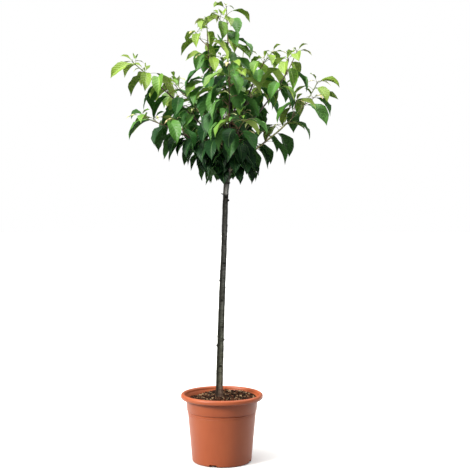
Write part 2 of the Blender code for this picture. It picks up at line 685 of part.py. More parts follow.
def shape_of(bm):
    """Vertices and faces of a bmesh, which is freed."""
    bm.verts.index_update()
    verts = [vert.co.copy() for vert in bm.verts]
    faces = [tuple(vert.index for vert in face.verts) for face in bm.faces]
    bm.free()
    return verts, faces


def add_twigs(crown, mass):
    """Side twigs of one mass, where there is room, with the leaves that they want."""
    radii = tapered((TWIG_ROOT_RADIUS, TWIG_TIP_RADIUS), TWIG_STEPS)
    for index, points in enumerate(plan_twigs(mass, mass["seed"])):
        test = shape_of(tube(points[1:], [radius + CLEARANCE for radius in radii[1:]], TWIG_SIDES))
        if crown.in_space(mass["name"], points[-1]) and crown.is_clear(mass["name"], test):
            crown.add_tube(mass["name"], "twig", points, radii, TWIG_SIDES)
            mass["pieces"].append(tube(points, radii, TWIG_SIDES))
            seed = mass["seed"] * 10 + index + 1
            mass["wanted"] += plan_leaves(mass, points, seed, YOUNG_LEAVES - 1)


def grow(boughs, masses):
    """Give each mass its twigs and leaves, in turn, where there is room for them."""
    crown = Crown()
    crown.add_tube("trunk", "limb", *axis_run(AXIS[0][0], TRUNK_TOP), TRUNK_SIDES)
    for name, (points, radii) in boughs.items():
        if name != "leader":
            points, radii = leave_trunk(points, radii)
        crown.add_tube("bough_" + name, "limb", points, radii, BOUGH_SIDES)
    for mass in masses:
        crown.add_tube(mass["name"], "twig", mass["stem"], mass["radii"], STEM_SIDES)
        crown.note_stem(mass["name"], mass["stem"])
    add_spurs(crown, masses)
    for mass in masses:
        mass["pieces"] = []
        young = 0 if mass["rooted"] else YOUNG_LEAVES
        mass["wanted"] = plan_leaves(mass, mass["stem"], mass["seed"], young)
        if not mass["rooted"]:
            add_twigs(crown, mass)
    for index in range(max(len(mass["wanted"]) for mass in masses)):
        for mass in masses:
            if index < len(mass["wanted"]):
                body = try_leaf(crown, mass, mass["wanted"][index])
                if body:
                    mass["pieces"].append(mesh_of(body))


def main():
    """Build the tree."""
    for item in list(bpy.data.objects):
        bpy.data.objects.remove(item)
    plastic = material("terracotta_plastic", (0.58, 0.17, 0.08), 0.45)
    compost = material("bark_compost", (0.05, 0.03, 0.02), 0.95)
    bark = material("cherry_bark", (0.09, 0.08, 0.07), 0.7)
    green = material("cherry_leaf", (0.07, 0.19, 0.03), 0.5)
    make_pot(plastic)
    make_soil(compost)
    make_trunk(bark)
    boughs, masses = plan_shoots()
    grow(boughs, masses)
    for name, (points, radii) in boughs.items():
        sides = TRUNK_SIDES if name == "leader" else BOUGH_SIDES
        bough = make_object("bough_" + name, tube(points, radii, sides), bark)
        if name != "leader":
            join_or_cut(bough, [trunk_cutter()], "DIFFERENCE")
    for mass in masses:
        stem = tube(mass["stem"], mass["radii"], STEM_SIDES)
        body = make_object("foliage_" + mass["name"], stem, green)
        if mass["rooted"]:
            join_or_cut(body, [trunk_cutter()], "DIFFERENCE")
        pieces = [make_object("piece", bm) for bm in mass["pieces"]]
        join_or_cut(body, pieces, "UNION")


main()
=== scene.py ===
import json
import math
import random

import bmesh
import bpy
import numpy as np
from mathutils import Matrix, Vector, noise
from mathutils.geometry import interpolate_bezier
from mathutils.kdtree import KDTree

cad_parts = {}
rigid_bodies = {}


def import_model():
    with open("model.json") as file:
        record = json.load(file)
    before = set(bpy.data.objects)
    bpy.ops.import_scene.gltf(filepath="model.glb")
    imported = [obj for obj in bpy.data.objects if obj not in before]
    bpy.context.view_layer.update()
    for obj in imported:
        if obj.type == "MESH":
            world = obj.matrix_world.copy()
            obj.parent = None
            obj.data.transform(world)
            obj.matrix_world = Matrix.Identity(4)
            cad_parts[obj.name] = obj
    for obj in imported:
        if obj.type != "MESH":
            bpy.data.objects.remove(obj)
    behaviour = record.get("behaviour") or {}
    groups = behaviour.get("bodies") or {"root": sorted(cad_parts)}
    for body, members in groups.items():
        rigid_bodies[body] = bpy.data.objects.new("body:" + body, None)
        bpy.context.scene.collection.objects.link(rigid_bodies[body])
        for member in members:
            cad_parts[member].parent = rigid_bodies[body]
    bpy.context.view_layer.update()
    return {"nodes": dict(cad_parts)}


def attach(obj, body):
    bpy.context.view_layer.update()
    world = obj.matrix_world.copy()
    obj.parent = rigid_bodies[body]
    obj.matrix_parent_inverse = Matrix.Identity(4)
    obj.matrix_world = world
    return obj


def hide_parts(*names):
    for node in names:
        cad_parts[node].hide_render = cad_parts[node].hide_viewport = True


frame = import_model()
up = Vector((0.0, 0.0, 1.0))
print("frame loaded:", len(frame["nodes"]), "solids")


# helpers

def toLinear(hexColour):  # sRGB hex to the linear colour that a shader takes
    parts = [int(hexColour[i:i + 2], 16) / 255 for i in (1, 3, 5)]
    return tuple(c / 12.92 if c <= 0.04045 else ((c + 0.055) / 1.055) ** 2.4 for c in parts) + (1.0,)


def addNode(tree, kind, values=None, links=None, **settings):  # one node with its settings and links
    node = tree.nodes.new(kind)
    for name, value in settings.items():
        setattr(node, name, value)
    for socket, value in (values or {}).items():
        node.inputs[socket].default_value = value
    for socket, source in (links or {}).items():
        tree.links.new(source, node.inputs[socket])
    return node


def addRamp(tree, source, stops):  # colour ramp from (place, hex) pairs
    ramp = addNode(tree, "ShaderNodeValToRGB", links={"Fac": source})
    elements = ramp.color_ramp.elements
    while len(elements) < len(stops):
        elements.new(0.5)
    for element, (place, colour) in zip(elements, stops):
        element.position = place
        element.color = toLinear(colour)
    return ramp.outputs["Color"]


def addPattern(tree, kind, values, scale=None):  # a texture in the object's own metres, stretched by scale
    place = addNode(tree, "ShaderNodeTexCoord").outputs["Object"]
    if scale:
        place = addNode(tree, "ShaderNodeMapping", {"Scale": scale}, {"Vector": place}).outputs["Vector"]
    return addNode(tree, "ShaderNodeTex" + kind, values, {"Vector": place})


def addBump(tree, shader, source, strength, distance):
    bump = addNode(tree, "ShaderNodeBump", {"Strength": strength, "Distance": distance}, {"Height": source})
    tree.links.new(bump.outputs["Normal"], shader.inputs["Normal"])


def newMaterial(name, colour, roughness, ior=1.5, gloss=0.5):
    made = bpy.data.materials.new(name)
    made.use_nodes = True
    made.diffuse_color = toLinear(colour)
    shader = made.node_tree.nodes["Principled BSDF"]
    shader.inputs["Base Color"].default_value = toLinear(colour)
    shader.inputs["Roughness"].default_value = roughness
    shader.inputs["IOR"].default_value = ior
    shader.inputs["Specular IOR Level"].default_value = gloss  # below a half where pores swallow the light
    return made, made.node_tree, shader


def newPiece(name, mesh, materials, smoothAngle):
    for item in materials:
        mesh.materials.append(item)
    mesh.shade_smooth()
    mesh.set_sharp_from_angle(angle=math.radians(smoothAngle))
    piece = bpy.data.objects.new(name, mesh)
    bpy.context.scene.collection.objects.link(piece)
    return piece


def meshOf(name, bm):
    mesh = bpy.data.meshes.new(name)
    bm.to_mesh(mesh)
    bm.free()
    return mesh


def lerp(pair, share):
    return pair[0] + share * (pair[1] - pair[0])


def smoothStep(value):
    value = min(1.0, max(0.0, value))
    return value * value * (3.0 - 2.0 * value)


def flatWay(angle):
    return Vector((math.cos(angle), math.sin(angle), 0.0))


def tilted(flat, slope):  # a level direction, raised by a slope in radians
    return flat * math.cos(slope) + up * math.sin(slope)


view = {"distance": 3.35, "height": 0.90, "focalPixels": 917.0, "framePixels": 470.0,
        "centre": (221.9, 213.7), "sensor": 36.0}  # the frame's pixel that the camera looks straight at


# growth rule, as the frame's solids follow it

stem = {
    "axis": (  # height, sideways lean, depthways lean and radius of trunk and leader
        (0.2320, -0.0095, 0.0000, 0.0152), (0.2420, -0.0094, 0.0000, 0.0136),
        (0.2650, -0.0090, 0.0002, 0.0123), (0.3180, -0.0080, 0.0008, 0.0120),
        (0.3250, -0.0078, 0.0009, 0.0127), (0.3330, -0.0076, 0.0010, 0.0120),
        (0.4200, -0.0052, 0.0022, 0.0117), (0.5200, -0.0022, 0.0032, 0.0112),
        (0.6500, 0.0025, 0.0034, 0.0106), (0.7700, 0.0077, 0.0026, 0.0101),
        (0.8800, 0.0106, 0.0014, 0.0096), (0.9600, 0.0133, 0.0006, 0.0092),
        (0.9800, 0.0140, 0.0004, 0.0097), (1.0080, 0.0170, 0.0000, 0.0097),
        (1.0300, 0.0208, -0.0004, 0.0089), (1.0450, 0.0237, -0.0006, 0.0078),
        (1.1100, 0.0268, -0.0010, 0.0067), (1.2000, 0.0305, -0.0012, 0.0055),
        (1.2600, 0.0342, -0.0008, 0.0047), (1.3200, 0.0338, 0.0000, 0.0040),
        (1.3300, 0.0337, 0.0001, 0.0039), (1.3900, 0.0262, 0.0010, 0.0034),
        (1.4600, 0.0216, 0.0014, 0.0029), (1.5400, 0.0216, 0.0010, 0.0023),
        (1.6100, 0.0185, 0.0004, 0.0018), (1.6560, 0.0160, 0.0000, 0.0014),
    ),
    "leaderSplit": 1.3200,
    "leaderSeed": 19,
    "leaderSpacing": 0.006,
    "gap": 0.0003,
    "endRoom": 0.004,  # rows of the axis nearer than this to the ends of a run are left out
}

shoots = {  # height on the trunk, tip, slopes at root and tip, bare share, seed
    "right_low": (1.060, (0.344, -0.043, 1.374), 38, 66, 0.25, 61),
    "left_low": (1.072, (-0.290, -0.090, 1.245), 42, 16, 0.33, 82),
    "back_low": (1.085, (-0.055, 0.330, 1.235), 40, 2, 0.33, 32),
    "front_right_low": (1.095, (0.075, -0.270, 1.210), 40, 5, 0.25, 16),
    "left_arch": (1.110, (-0.324, -0.018, 1.451), 52, 42, 0.33, 70),
    "back_right": (1.122, (0.138, 0.260, 1.437), 48, 53, 0.25, 32),
    "front": (1.135, (0.025, -0.255, 1.405), 55, 44, 0.27, 45),
    "right_mid": (1.147, (0.265, -0.105, 1.475), 46, 68, 0.50, 24),
    "back_left": (1.158, (-0.185, 0.210, 1.420), 50, 53, 0.33, 57),
    "left_upright": (1.168, (-0.055, -0.045, 1.600), 62, 88, 0.33, 24),
    "right_upper": (1.178, (0.185, 0.015, 1.490), 58, 45, 0.25, 62),
    "back_upright": (1.193, (0.082, 0.157, 1.522), 60, 78, 0.33, 9),
}
shoot = {"steps": 12, "finer": 4, "rootRadius": 0.0045, "tipRadius": 0.0014, "taper": 0.8, "droop": 0.9,
         "phase": 1.3, "leaderPhase": 2.0, "leaderSize": 0.95, "leaderDroop": 0.85}

spurs = {  # lowest and highest start, reach, rise, slopes, leaf size and droop, seeds
    "skirt": ((1.032, 1.058), 0.091, 0.100, (52, 10), 0.91, 0.91, (21, 5, 95, 67, 35, 13, 93, 65)),
    "heart": ((1.066, 1.184), 0.088, 0.085, (52, 15), 1.05, 1.00, (80, 24, 33, 54, 50, 56, 25, 70)),
}
spur = {"first": 20.0, "stride": 3, "steps": 5, "rootRadius": 0.0030, "leafSpacing": 0.013,
        "reaches": (0.85, 1.15), "rises": (0.8, 1.2), "turns": (0, 14, -14, 28, -28, 42, -42)}

twig = {"steps": 2, "finer": 5, "rootRadius": 0.0018, "tipRadius": 0.0011, "lengths": (0.045, 0.085),
        "turns": (48, 80), "slopes": (12, 38), "bend": 0.35, "room": 0.010, "first": 0.095,
        "spacing": 0.072, "spread": (0.8, 1.2)}

leaf = {  # pairs are for the youngest leaf and for a grown one
    "golden": math.radians(137.5), "first": 0.004, "last": 0.012, "spacing": (0.012, 0.022),
    "young": 4, "stalks": (0.014, 0.032), "stalkSlopes": (58.0, 22.0), "baseSlopes": (38.0, -46.0),
    "tipSlopes": (4.0, -78.0), "lengths": (0.042, 0.106), "widths": (0.42, 0.56),
    "sizes": (0.88, 1.12), "spread": (0.85, 1.15), "stalkSpread": (0.85, 1.20),
    "slopeSpread": (9.0, 14.0, 9.0), "roll": 0.30, "turn": 0.35, "ahead": 0.55,
    "widest": 0.34, "shoulder": 0.68, "turns": (0, 32, -32, 64, -64, 100, -100, 140),
    "youngRun": 0.16,  # metres of shoot below its tip whose leaves are still light green
}


def axisAt(height):
    axis = stem["axis"]
    for (z0, x0, y0, r0), (z1, x1, y1, r1) in zip(axis, axis[1:]):
        if height <= z1:
            break
    share = (height - z0) / (z1 - z0)
    return Vector((lerp((x0, x1), share), lerp((y0, y1), share), height)), lerp((r0, r1), share)


def axisRun(low, high, spacing=None):  # points and radii from one height to another
    if spacing:
        steps = round((high - low) / spacing)
        heights = [lerp((low, high), step / steps) for step in range(steps + 1)]
    else:
        room = stem["endRoom"]
        heights = [low] + [row[0] for row in stem["axis"] if low + room < row[0] < high - room] + [high]
    pairs = [axisAt(height) for height in heights]
    return [pair[0] for pair in pairs], [pair[1] for pair in pairs]


def curvePoints(start, tip, slopes, steps):
    span = tip - start
    flat = Vector((span.x, span.y, 0.0)).normalized()
    reach = span.length / 3.0
    out, into = [tilted(flat, math.radians(slope)) for slope in slopes]
    return interpolate_bezier(start, start + out * reach, tip - into * reach, tip, steps + 1)


def tapered(ends, steps, power=1.0):
    return [lerp(ends, (step / steps) ** power) for step in range(steps + 1)]


def walk(points, distance):  # point and direction at a distance back from the last point
    for after, before in zip(points[::-1], points[-2::-1]):
        length = (after - before).length
        if distance <= length:
            break
        distance -= length
    direction = (after - before).normalized()
    return after - direction * min(distance, length), direction


def runLength(points):
    return sum((b - a).length for a, b in zip(points, points[1:]))


def planLeaves(mass, points, seed, young):
    length = runLength(points)
    distance = leaf["first"]
    wanted = []
    while distance < length - leaf["last"]:
        index = len(wanted)
        rng = random.Random(seed * 1000 + index)
        age = math.sqrt(min(1.0, index / young)) if young else 1.0
        root, along = walk(points, distance)
        turn = mass["phase"] + index * leaf["golden"] + rng.uniform(-leaf["turn"], leaf["turn"])
        out = flatWay(turn) + leaf["ahead"] * Vector((along.x, along.y, 0.0))
        blade = lerp(leaf["lengths"], age) * rng.uniform(*leaf["sizes"]) * mass["leafSize"]
        droop = age * mass["droop"]
        slopes = (lerp(leaf["stalkSlopes"], age), lerp(leaf["baseSlopes"], droop),
                  lerp(leaf["tipSlopes"], droop))
        slopes = [math.radians(s + rng.uniform(-w, w)) for s, w in zip(slopes, leaf["slopeSpread"])]
        wanted.append({
            "root": root, "along": along, "heading": math.atan2(out.y, out.x), "slopes": slopes,
            "stalk": lerp(leaf["stalks"], age) * rng.uniform(*leaf["stalkSpread"]),
            "length": blade, "width": blade * lerp(leaf["widths"], age),
            "roll": rng.uniform(-leaf["roll"], leaf["roll"]),
            "youth": 1.0 - smoothStep(distance / leaf["youngRun"]) if young else 0.0,
        })
        spacing = lerp(leaf["spacing"], age) if young else spur["leafSpacing"]
        distance += spacing * rng.uniform(*leaf["spread"])
    return wanted


def planTwigs(points, seed, steps):
    distance = twig["first"]
    wanted = []
    while distance < runLength(points) - twig["room"]:
        index = len(wanted)
        rng = random.Random(seed * 1000 + 500 + index)
        root, along = walk(points, distance)
        side = 1.0 if (index + seed) % 2 else -1.0
        flat = flatWay(math.atan2(along.y, along.x) + side * math.radians(rng.uniform(*twig["turns"])))
        slope = math.radians(rng.uniform(*twig["slopes"]))
        reach = rng.uniform(*twig["lengths"])
        out, bend = tilted(flat, slope), tilted(flat, slope + twig["bend"])
        tip = root + 0.5 * reach * (out + bend)
        handles = (root + out * reach / 3, tip - bend * reach / 3)
        wanted.append(interpolate_bezier(root, *handles, tip, steps + 1))
        distance += twig["spacing"] * rng.uniform(*twig["spread"])
    return wanted


def solidCorners():  # corners of the frame's foliage, to see which leaves and twigs have room there
    corners = [v.co.copy() for name, item in frame["nodes"].items() if name.startswith("foliage_")
               for v in item.data.vertices]
    found = KDTree(len(corners))
    for index, corner in enumerate(corners):
        found.insert(corner, index)
    found.balance()
    return found


corners = solidCorners()
tolerance = {"ring": (0.92, 1.08), "tip": 0.0002}  # shares of a ring's radius, metres from a leaf's tip


def ringStands(centre, radius, count):  # true where the frame has a twig's end ring round a point
    least, most = tolerance["ring"]
    near = corners.find_range(centre, radius * most)
    return sum(distance > radius * least for point, index, distance in near) >= count


def tipOf(item):  # where the solid leaf's tip lies
    shares = (leaf["widest"], leaf["shoulder"] - leaf["widest"], 1.0 - leaf["shoulder"])
    base, end = item["slopes"][1:]
    flat = flatWay(item["heading"])
    point = item["root"] + item["stalk"] * tilted(flat, item["slopes"][0])
    for share, slope in zip(shares, (base, 0.5 * (base + end), end)):
        point = point + share * item["length"] * tilted(flat, slope)
    return point


def standsIn(item):  # turns a leaf to where the frame has it, if it has
    heading = item["heading"]
    for turn in leaf["turns"]:
        item["heading"] = heading + math.radians(turn)
        if corners.find(tipOf(item))[2] < tolerance["tip"]:
            return True
    item["heading"] = heading
    return False


def growTree():
    boughs, masses = {}, []
    for name, (height, tip, launch, finish, bare, seed) in shoots.items():
        start = axisAt(height)[0]
        cut = round(bare * shoot["steps"])
        fineCut, fineSteps = shoot["finer"] * cut, shoot["finer"] * shoot["steps"]
        coarse = curvePoints(start, Vector(tip), (launch, finish), shoot["steps"])
        fine = curvePoints(start, Vector(tip), (launch, finish), fineSteps)
        fineRadii = tapered((shoot["rootRadius"], shoot["tipRadius"]), fineSteps, shoot["taper"])
        step = (coarse[cut + 1] - coarse[cut]).normalized() * stem["gap"]
        boughs[name] = (fine[:fineCut + 1], fineRadii[:fineCut + 1])
        masses.append({"name": name, "stem": [coarse[cut] + step] + coarse[cut + 1:], "seed": seed,
                       "line": (fine[fineCut:], fineRadii[fineCut:]), "phase": seed * shoot["phase"],
                       "leafSize": 1.0, "droop": shoot["droop"], "rooted": False})
    points = axisRun(stem["leaderSplit"] + stem["gap"], stem["axis"][-1][0])[0]
    masses.append({"name": "leader", "stem": points, "seed": stem["leaderSeed"],
                   "line": axisRun(stem["leaderSplit"], stem["axis"][-1][0], stem["leaderSpacing"]),
                   "phase": shoot["leaderPhase"], "leafSize": shoot["leaderSize"],
                   "droop": shoot["leaderDroop"], "rooted": False})
    for ring, (heights, reach, rise, slopes, size, droop, seeds) in spurs.items():
        for index, seed in enumerate(seeds):
            rng = random.Random(seed)
            start = axisAt(lerp(heights, index / (len(seeds) - 1)))[0]
            place = math.radians(spur["first"] + 360.0 * (index * spur["stride"] % len(seeds)) / len(seeds))
            lean = Vector((reach * rng.uniform(*spur["reaches"]), 0.0, rise * rng.uniform(*spur["rises"])))
            for turn in spur["turns"]:
                heading = place + math.radians(turn)
                tip = start + Matrix.Rotation(heading, 3, "Z") @ lean
                if ringStands(tip, shoot["tipRadius"], 3):
                    fineSteps = shoot["finer"] * spur["steps"]
                    line = curvePoints(start, tip, slopes, fineSteps)
                    lineRadii = tapered((spur["rootRadius"], shoot["tipRadius"]), fineSteps)
                    placed = sum(mass["name"].startswith(ring) for mass in masses)
                    masses.append({"name": "%s_%d" % (ring, placed + 1), "seed": seed, "phase": heading,
                                   "stem": curvePoints(start, tip, slopes, spur["steps"]),
                                   "line": (line, lineRadii), "leafSize": size,
                                   "droop": droop, "rooted": True})
                    break
    for mass in masses:
        mass["twigs"] = []
        wanted = planLeaves(mass, mass["stem"], mass["seed"], 0 if mass["rooted"] else leaf["young"])
        if not mass["rooted"]:
            coarse = planTwigs(mass["stem"], mass["seed"], twig["steps"])
            fine = planTwigs(mass["stem"], mass["seed"], twig["finer"] * twig["steps"])
            for index, (points, line) in enumerate(zip(coarse, fine)):
                if ringStands(points[-1], twig["tipRadius"], 2):
                    mass["twigs"].append(line)
                    wanted += planLeaves(mass, points, mass["seed"] * 10 + index + 1, leaf["young"] - 1)
        mass["leaves"] = [item for item in wanted if standsIn(item)]
        mass["crowded"] = [item for item in wanted if item not in mass["leaves"]]
    return boughs, masses


boughs, masses = growTree()
for part in ("twigs", "leaves", "crowded"):
    print("grown:", part, sum(len(mass[part]) for mass in masses))


# limbs

def addTube(bm, points, radii, sides, relief=None, slot=0):  # closed tube: a grid wrapped along points
    rings = len(points) - 1
    grid = bmesh.ops.create_grid(bm, x_segments=sides, y_segments=rings, size=1.0)["verts"]
    turn = (points[1] - points[0]).to_track_quat("Z", "Y")
    frames = []
    for index, point in enumerate(points):
        ahead = points[min(index + 1, rings)] - points[max(index - 1, 0)]
        turn = (turn @ up).rotation_difference(ahead) @ turn
        frames.append((point, turn.copy()))
    for vert in grid:
        ring = round((vert.co.y + 1.0) / 2.0 * rings)
        around = math.pi * (vert.co.x + 1.0)
        centre, turn = frames[ring]
        way = turn @ flatWay(around)
        radius = radii[ring]
        if relief:
            radius += relief(math.atan2(way.y, way.x), centre.z, radii[ring])
        vert.co = centre + way * radius
    faces = {face for vert in grid for face in vert.link_faces}
    for face in faces:
        face.material_index = slot
    bmesh.ops.remove_doubles(bm, verts=grid, dist=1e-6)
    rims = [edge for face in faces if face.is_valid for edge in face.edges if edge.is_boundary]
    for face in bmesh.ops.holes_fill(bm, edges=list(set(rims)), sides=0)["faces"]:
        face.material_index = slot
    return faces


bark = {
    "foot": 0.2290, "top": 1.3200,  # of the piece that stands for trunk and lower leader
    "ringSpacing": 0.0020, "sides": 36, "smoothing": 0.010, "footSmoothing": 0.001,
    "nodeFirst": 0.262, "nodeSpacing": 0.0465, "nodeHeight": 0.0012, "nodeLength": 0.0034,
    "nodeJitter": 0.009, "nodeBeat": 2.3, "nodeDark": 0.45,
    "ridge": 0.00045, "ridgeSize": 0.0035, "ridgeStretch": 0.35, "lump": 0.0006, "lumpSize": 0.030,
    "smooth": (0.97, 1.06, 0.4),  # lowest and highest point of the graft, and its share of the ridges
    "thin": 0.008,                # under this radius the relief shrinks with the stem
    "rings": ((0.3255, 0.0009), (0.4150, 0.0007), (0.9720, 0.0012), (1.0120, 0.0009), (1.0450, 0.0005)),
    "ringLength": 0.0022,
    "stubs": (  # height, heading in degrees, length and radius of pruned twigs
        (0.4165, 172.0, 0.0046, 0.0038), (0.4380, -12.0, 0.0044, 0.0036),
        (0.6540, 196.0, 0.0036, 0.0031), (0.9460, -6.0, 0.0056, 0.0036),
        (0.9680, 186.0, 0.0085, 0.0015), (1.0100, -5.0, 0.0040, 0.0030),
    ),
    "stubSink": 0.0045, "stubSlope": math.radians(30.0), "stubSides": 12,
    "stubShape": ((0.0, 1.6), (0.35, 1.35), (0.6, 1.1), (0.82, 1.0), (0.95, 0.8), (1.0, 0.45)),
    "stubDark": 1.25, "stubClear": 0.001,  # further out than this share of the radius and this, it's dark
    "stubMark": 0.9, "stubLow": 0.25,  # how dark, and the height from which it is, above the root flare
    "graft": (1.010, 0.032),      # middle and half height of the graft
    "graftPaintedLight": 0.32,           # the mark that the graft's +x side is lifted to, where the shade ramp is white: painted light
    "stand": 0.0005,              # how far the bark stands out from the turned shape all over
}


def smoothAxis(height):  # the frame's straight stretches, rounded off
    foot, top = stem["axis"][0][0], stem["axis"][-1][0]
    if height <= foot:
        return axisAt(foot)[0] + up * (height - foot), stem["axis"][0][3]
    reach = min(bark["smoothing"], height - foot + bark["footSmoothing"], top - height)
    near = [axisAt(height + share * reach) for share in (-1.0, -0.5, 0.0, 0.5, 1.0)]
    return sum((point for point, radius in near), Vector()) / 5, sum(radius for point, radius in near) / 5


def nodeAt(around, height):  # 1 on an old leaf scar, 0 away from it
    index = round((height - bark["nodeFirst"]) / bark["nodeSpacing"])
    jitter = bark["nodeJitter"] * math.sin(index * bark["nodeBeat"])
    nodeHeight = bark["nodeFirst"] + index * bark["nodeSpacing"] + jitter
    facing = max(0.0, math.cos(around - index * leaf["golden"]))
    return facing ** 2 * math.exp(-((height - nodeHeight) / bark["nodeLength"]) ** 2)


def barkRelief(around, height, radius):  # how far the bark stands out from the turned shape
    place = Vector((math.cos(around) * radius, math.sin(around) * radius, height))
    relief = bark["stand"] + bark["lump"] * noise.noise(place / bark["lumpSize"])
    grain = Vector((place.x, place.y, place.z * bark["ridgeStretch"])) / bark["ridgeSize"]
    low, high, share = bark["smooth"]
    relief += bark["ridge"] * noise.noise(grain) * (share if low <= height <= high else 1.0)
    for ringHeight, rise in bark["rings"]:
        relief += rise * math.exp(-((height - ringHeight) / bark["ringLength"]) ** 2)
    relief += bark["nodeHeight"] * nodeAt(around, height)
    return relief * min(1.0, radius / bark["thin"])


def markShadeAndScars(mesh):  # painted shade round the trunk: near 1 on the -x side, which is painted dark, and on scars and stubs, 0 on the +x side
    heights, xs, ys, radii = np.array(stem["axis"]).T
    marks = []
    for vert in mesh.vertices:
        x, y, z = vert.co
        offset = Vector((x - np.interp(z, heights, xs), y - np.interp(z, heights, ys)))
        around = math.atan2(offset.y, offset.x)
        standsOut = offset.length > bark["stubDark"] * np.interp(z, heights, radii) + bark["stubClear"]
        # painted shade: the mark, and with it the darkness of the bark colour, rises from the +x side to the
        # -x side
        mark = 0.5 - 0.5 * math.cos(around) + bark["nodeDark"] * nodeAt(around, z)
        graft = math.exp(-((z - bark["graft"][0]) / bark["graft"][1]) ** 2)
        # painted light: on the graft the +x side's mark is lifted to the whitest stop of the shade ramp
        mark = lerp((mark, max(mark, bark["graftPaintedLight"])), graft)
        marks.append(bark["stubMark"] if standsOut and z > bark["stubLow"] else min(1.0, mark))
    mesh.attributes.new("painted_shade_and_scars", "FLOAT", "POINT").data.foreach_set("value", marks)
    return mesh


def makeTrunk():
    bm = bmesh.new()
    steps = round((bark["top"] - bark["foot"]) / bark["ringSpacing"])
    pairs = [smoothAxis(lerp((bark["foot"], bark["top"]), step / steps)) for step in range(steps + 1)]
    addTube(bm, [pair[0] for pair in pairs], [pair[1] for pair in pairs], bark["sides"], barkRelief)
    for height, heading, length, radius in bark["stubs"]:
        centre, trunkRadius = smoothAxis(height)
        flat = flatWay(math.radians(heading))
        lean = tilted(flat, bark["stubSlope"])
        root = centre + flat * (trunkRadius - bark["stubSink"])
        run = [root + lean * (bark["stubSink"] + length) * share for share, part in bark["stubShape"]]
        addTube(bm, run, [radius * part for share, part in bark["stubShape"]], bark["stubSides"])
    return markShadeAndScars(meshOf("trunk_bark", bm))


bough = {"sides": 12, "spacing": 0.003, "collar": 0.75, "collarLength": 0.011, "nodeSpacing": 0.021,
         "nodeRise": 0.22, "nodeShare": 0.22, "pale": "right_low"}  # the pale one is painted with the light of full sun
fineTwig = {"sides": 8, "sideSides": 7, "spacing": 0.004, "tip": 0.5, "collar": 0.002,
            "halfRipe": 0.62, "paleHalfRipe": 0.15, "green": 0.2, "pale": 0.55}  # shares of the run; up to the pale share the sunlit bough's stem is painted light


def withNodes(points, radii, collar):  # swollen where leaves stood, and flared where it leaves its parent
    swollen = []
    length = 0.0
    for index, (point, radius) in enumerate(zip(points, radii)):
        length += (point - points[max(0, index - 1)]).length
        place = abs((length / bough["nodeSpacing"]) % 1.0 - 0.5)
        radius *= 1.0 + bough["nodeRise"] * smoothStep((bough["nodeShare"] - place) / bough["nodeShare"])
        flare = math.exp(-max(0.0, length - collar) / bough["collarLength"]) if collar else 0.0
        swollen.append(radius * (1.0 + bough["collar"] * min(1.0, flare)))
    return swollen


def resample(points, radii, spacing):  # evenly spaced points and radii along a run
    steps = max(2, round(runLength(points) / spacing))
    total = runLength(points)
    evenPoints, evenRadii = [], []
    for step in range(steps + 1):
        left = total * step / steps
        for index, (before, after) in enumerate(zip(points, points[1:])):
            length = (after - before).length
            if left <= length or index == len(points) - 2:
                share = min(1.0, left / length)
                evenPoints.append(before.lerp(after, share))
                evenRadii.append(lerp((radii[index], radii[index + 1]), share))
                break
            left -= length
    return evenPoints, evenRadii


def makeBoughs():
    bm = bmesh.new()
    for name, (points, radii) in boughs.items():
        evenPoints, evenRadii = resample(points, radii, bough["spacing"])
        trunkRadius = axisAt(points[0].z)[1]
        # painted light: the bough in full sun takes the pale copy of the bark
        addTube(bm, evenPoints, withNodes(evenPoints, evenRadii, trunkRadius), bough["sides"],
                slot=int(name == bough["pale"]))
    return meshOf("boughs_bark", bm)


def makeTwigs():  # stems of the masses, spurs and side twigs: ripe wood below, green at the tips
    bm = bmesh.new()
    for mass in masses:
        points, radii = resample(*mass["line"], fineTwig["spacing"])
        radii = withNodes(points, radii, axisAt(points[0].z)[1] if mass["rooted"] else 0.0)
        radii[-1] *= fineTwig["tip"]
        faces = addTube(bm, points, radii, fineTwig["sides"])
        total = runLength(points)
        pale = mass["name"] == bough["pale"]
        ripe = fineTwig["paleHalfRipe"] if pale else fineTwig["halfRipe"]
        for face in faces:
            if face.is_valid:
                share = (face.calc_center_median() - points[0]).length / total
                face.material_index = (share > ripe) + (share > ripe + fineTwig["green"])
                # painted light: the sunlit bough's stem takes the pale copy of the bark up to its pale share
                if pale and share < fineTwig["pale"]:
                    face.material_index = 3
        for line in mass["twigs"]:
            ends = (twig["rootRadius"], twig["tipRadius"])
            fine, fineRadii = resample(line, tapered(ends, len(line) - 1), fineTwig["spacing"])
            fineRadii[-1] *= fineTwig["tip"]
            addTube(bm, fine, withNodes(fine, fineRadii, fineTwig["collar"]), fineTwig["sideSides"], slot=1)
    return meshOf("twigs", bm)


# leaves

blade = {
    "rows": ((0, 0.0), (2, 0.15), (5, 0.39), (9, 0.68), (14, 0.91), (19, 1.0), (24, 0.96), (29, 0.76),
             (33, 0.46), (36, 0.21), (38, 0.09), (40, 0.0)),
    "fineSteps": 40,       # rows are given in these steps along the leaf, with their share of the half width
    "columns": (-1.0, -0.5, -0.05, 0.05, 0.5, 1.0),
    "below": ((-1.0, 0.0), (-0.5, -0.7), (0.0, -1.0), (0.5, -0.7), (1.0, 0.0)),  # place across and drop
    "fold": math.radians(27.0), "folds": (0.55, 1.45), "youngFold": 0.5, "keel": 0.011, "wave": 0.030,
    "waves": 2.6, "twist": 0.75, "sideBend": 0.13, "tipHooks": (-0.25, 0.65), "slender": 0.90,
    "marks": (0.0, 0.17, 0.51, 0.84, 1.0),  # shares of the length at which the slopes are given
    "rib": 0.02,           # faces centred nearer to the middle than this share of the half width are rib
    "crease": (1.35, 0.35), "waveRise": (0.6, 1.0),  # steeper by the rib than at the rim, waves the reverse
    "waveShift": 0.25, "keelTaper": 1.1, "veins": 9.0, "veinLean": 0.42,
}


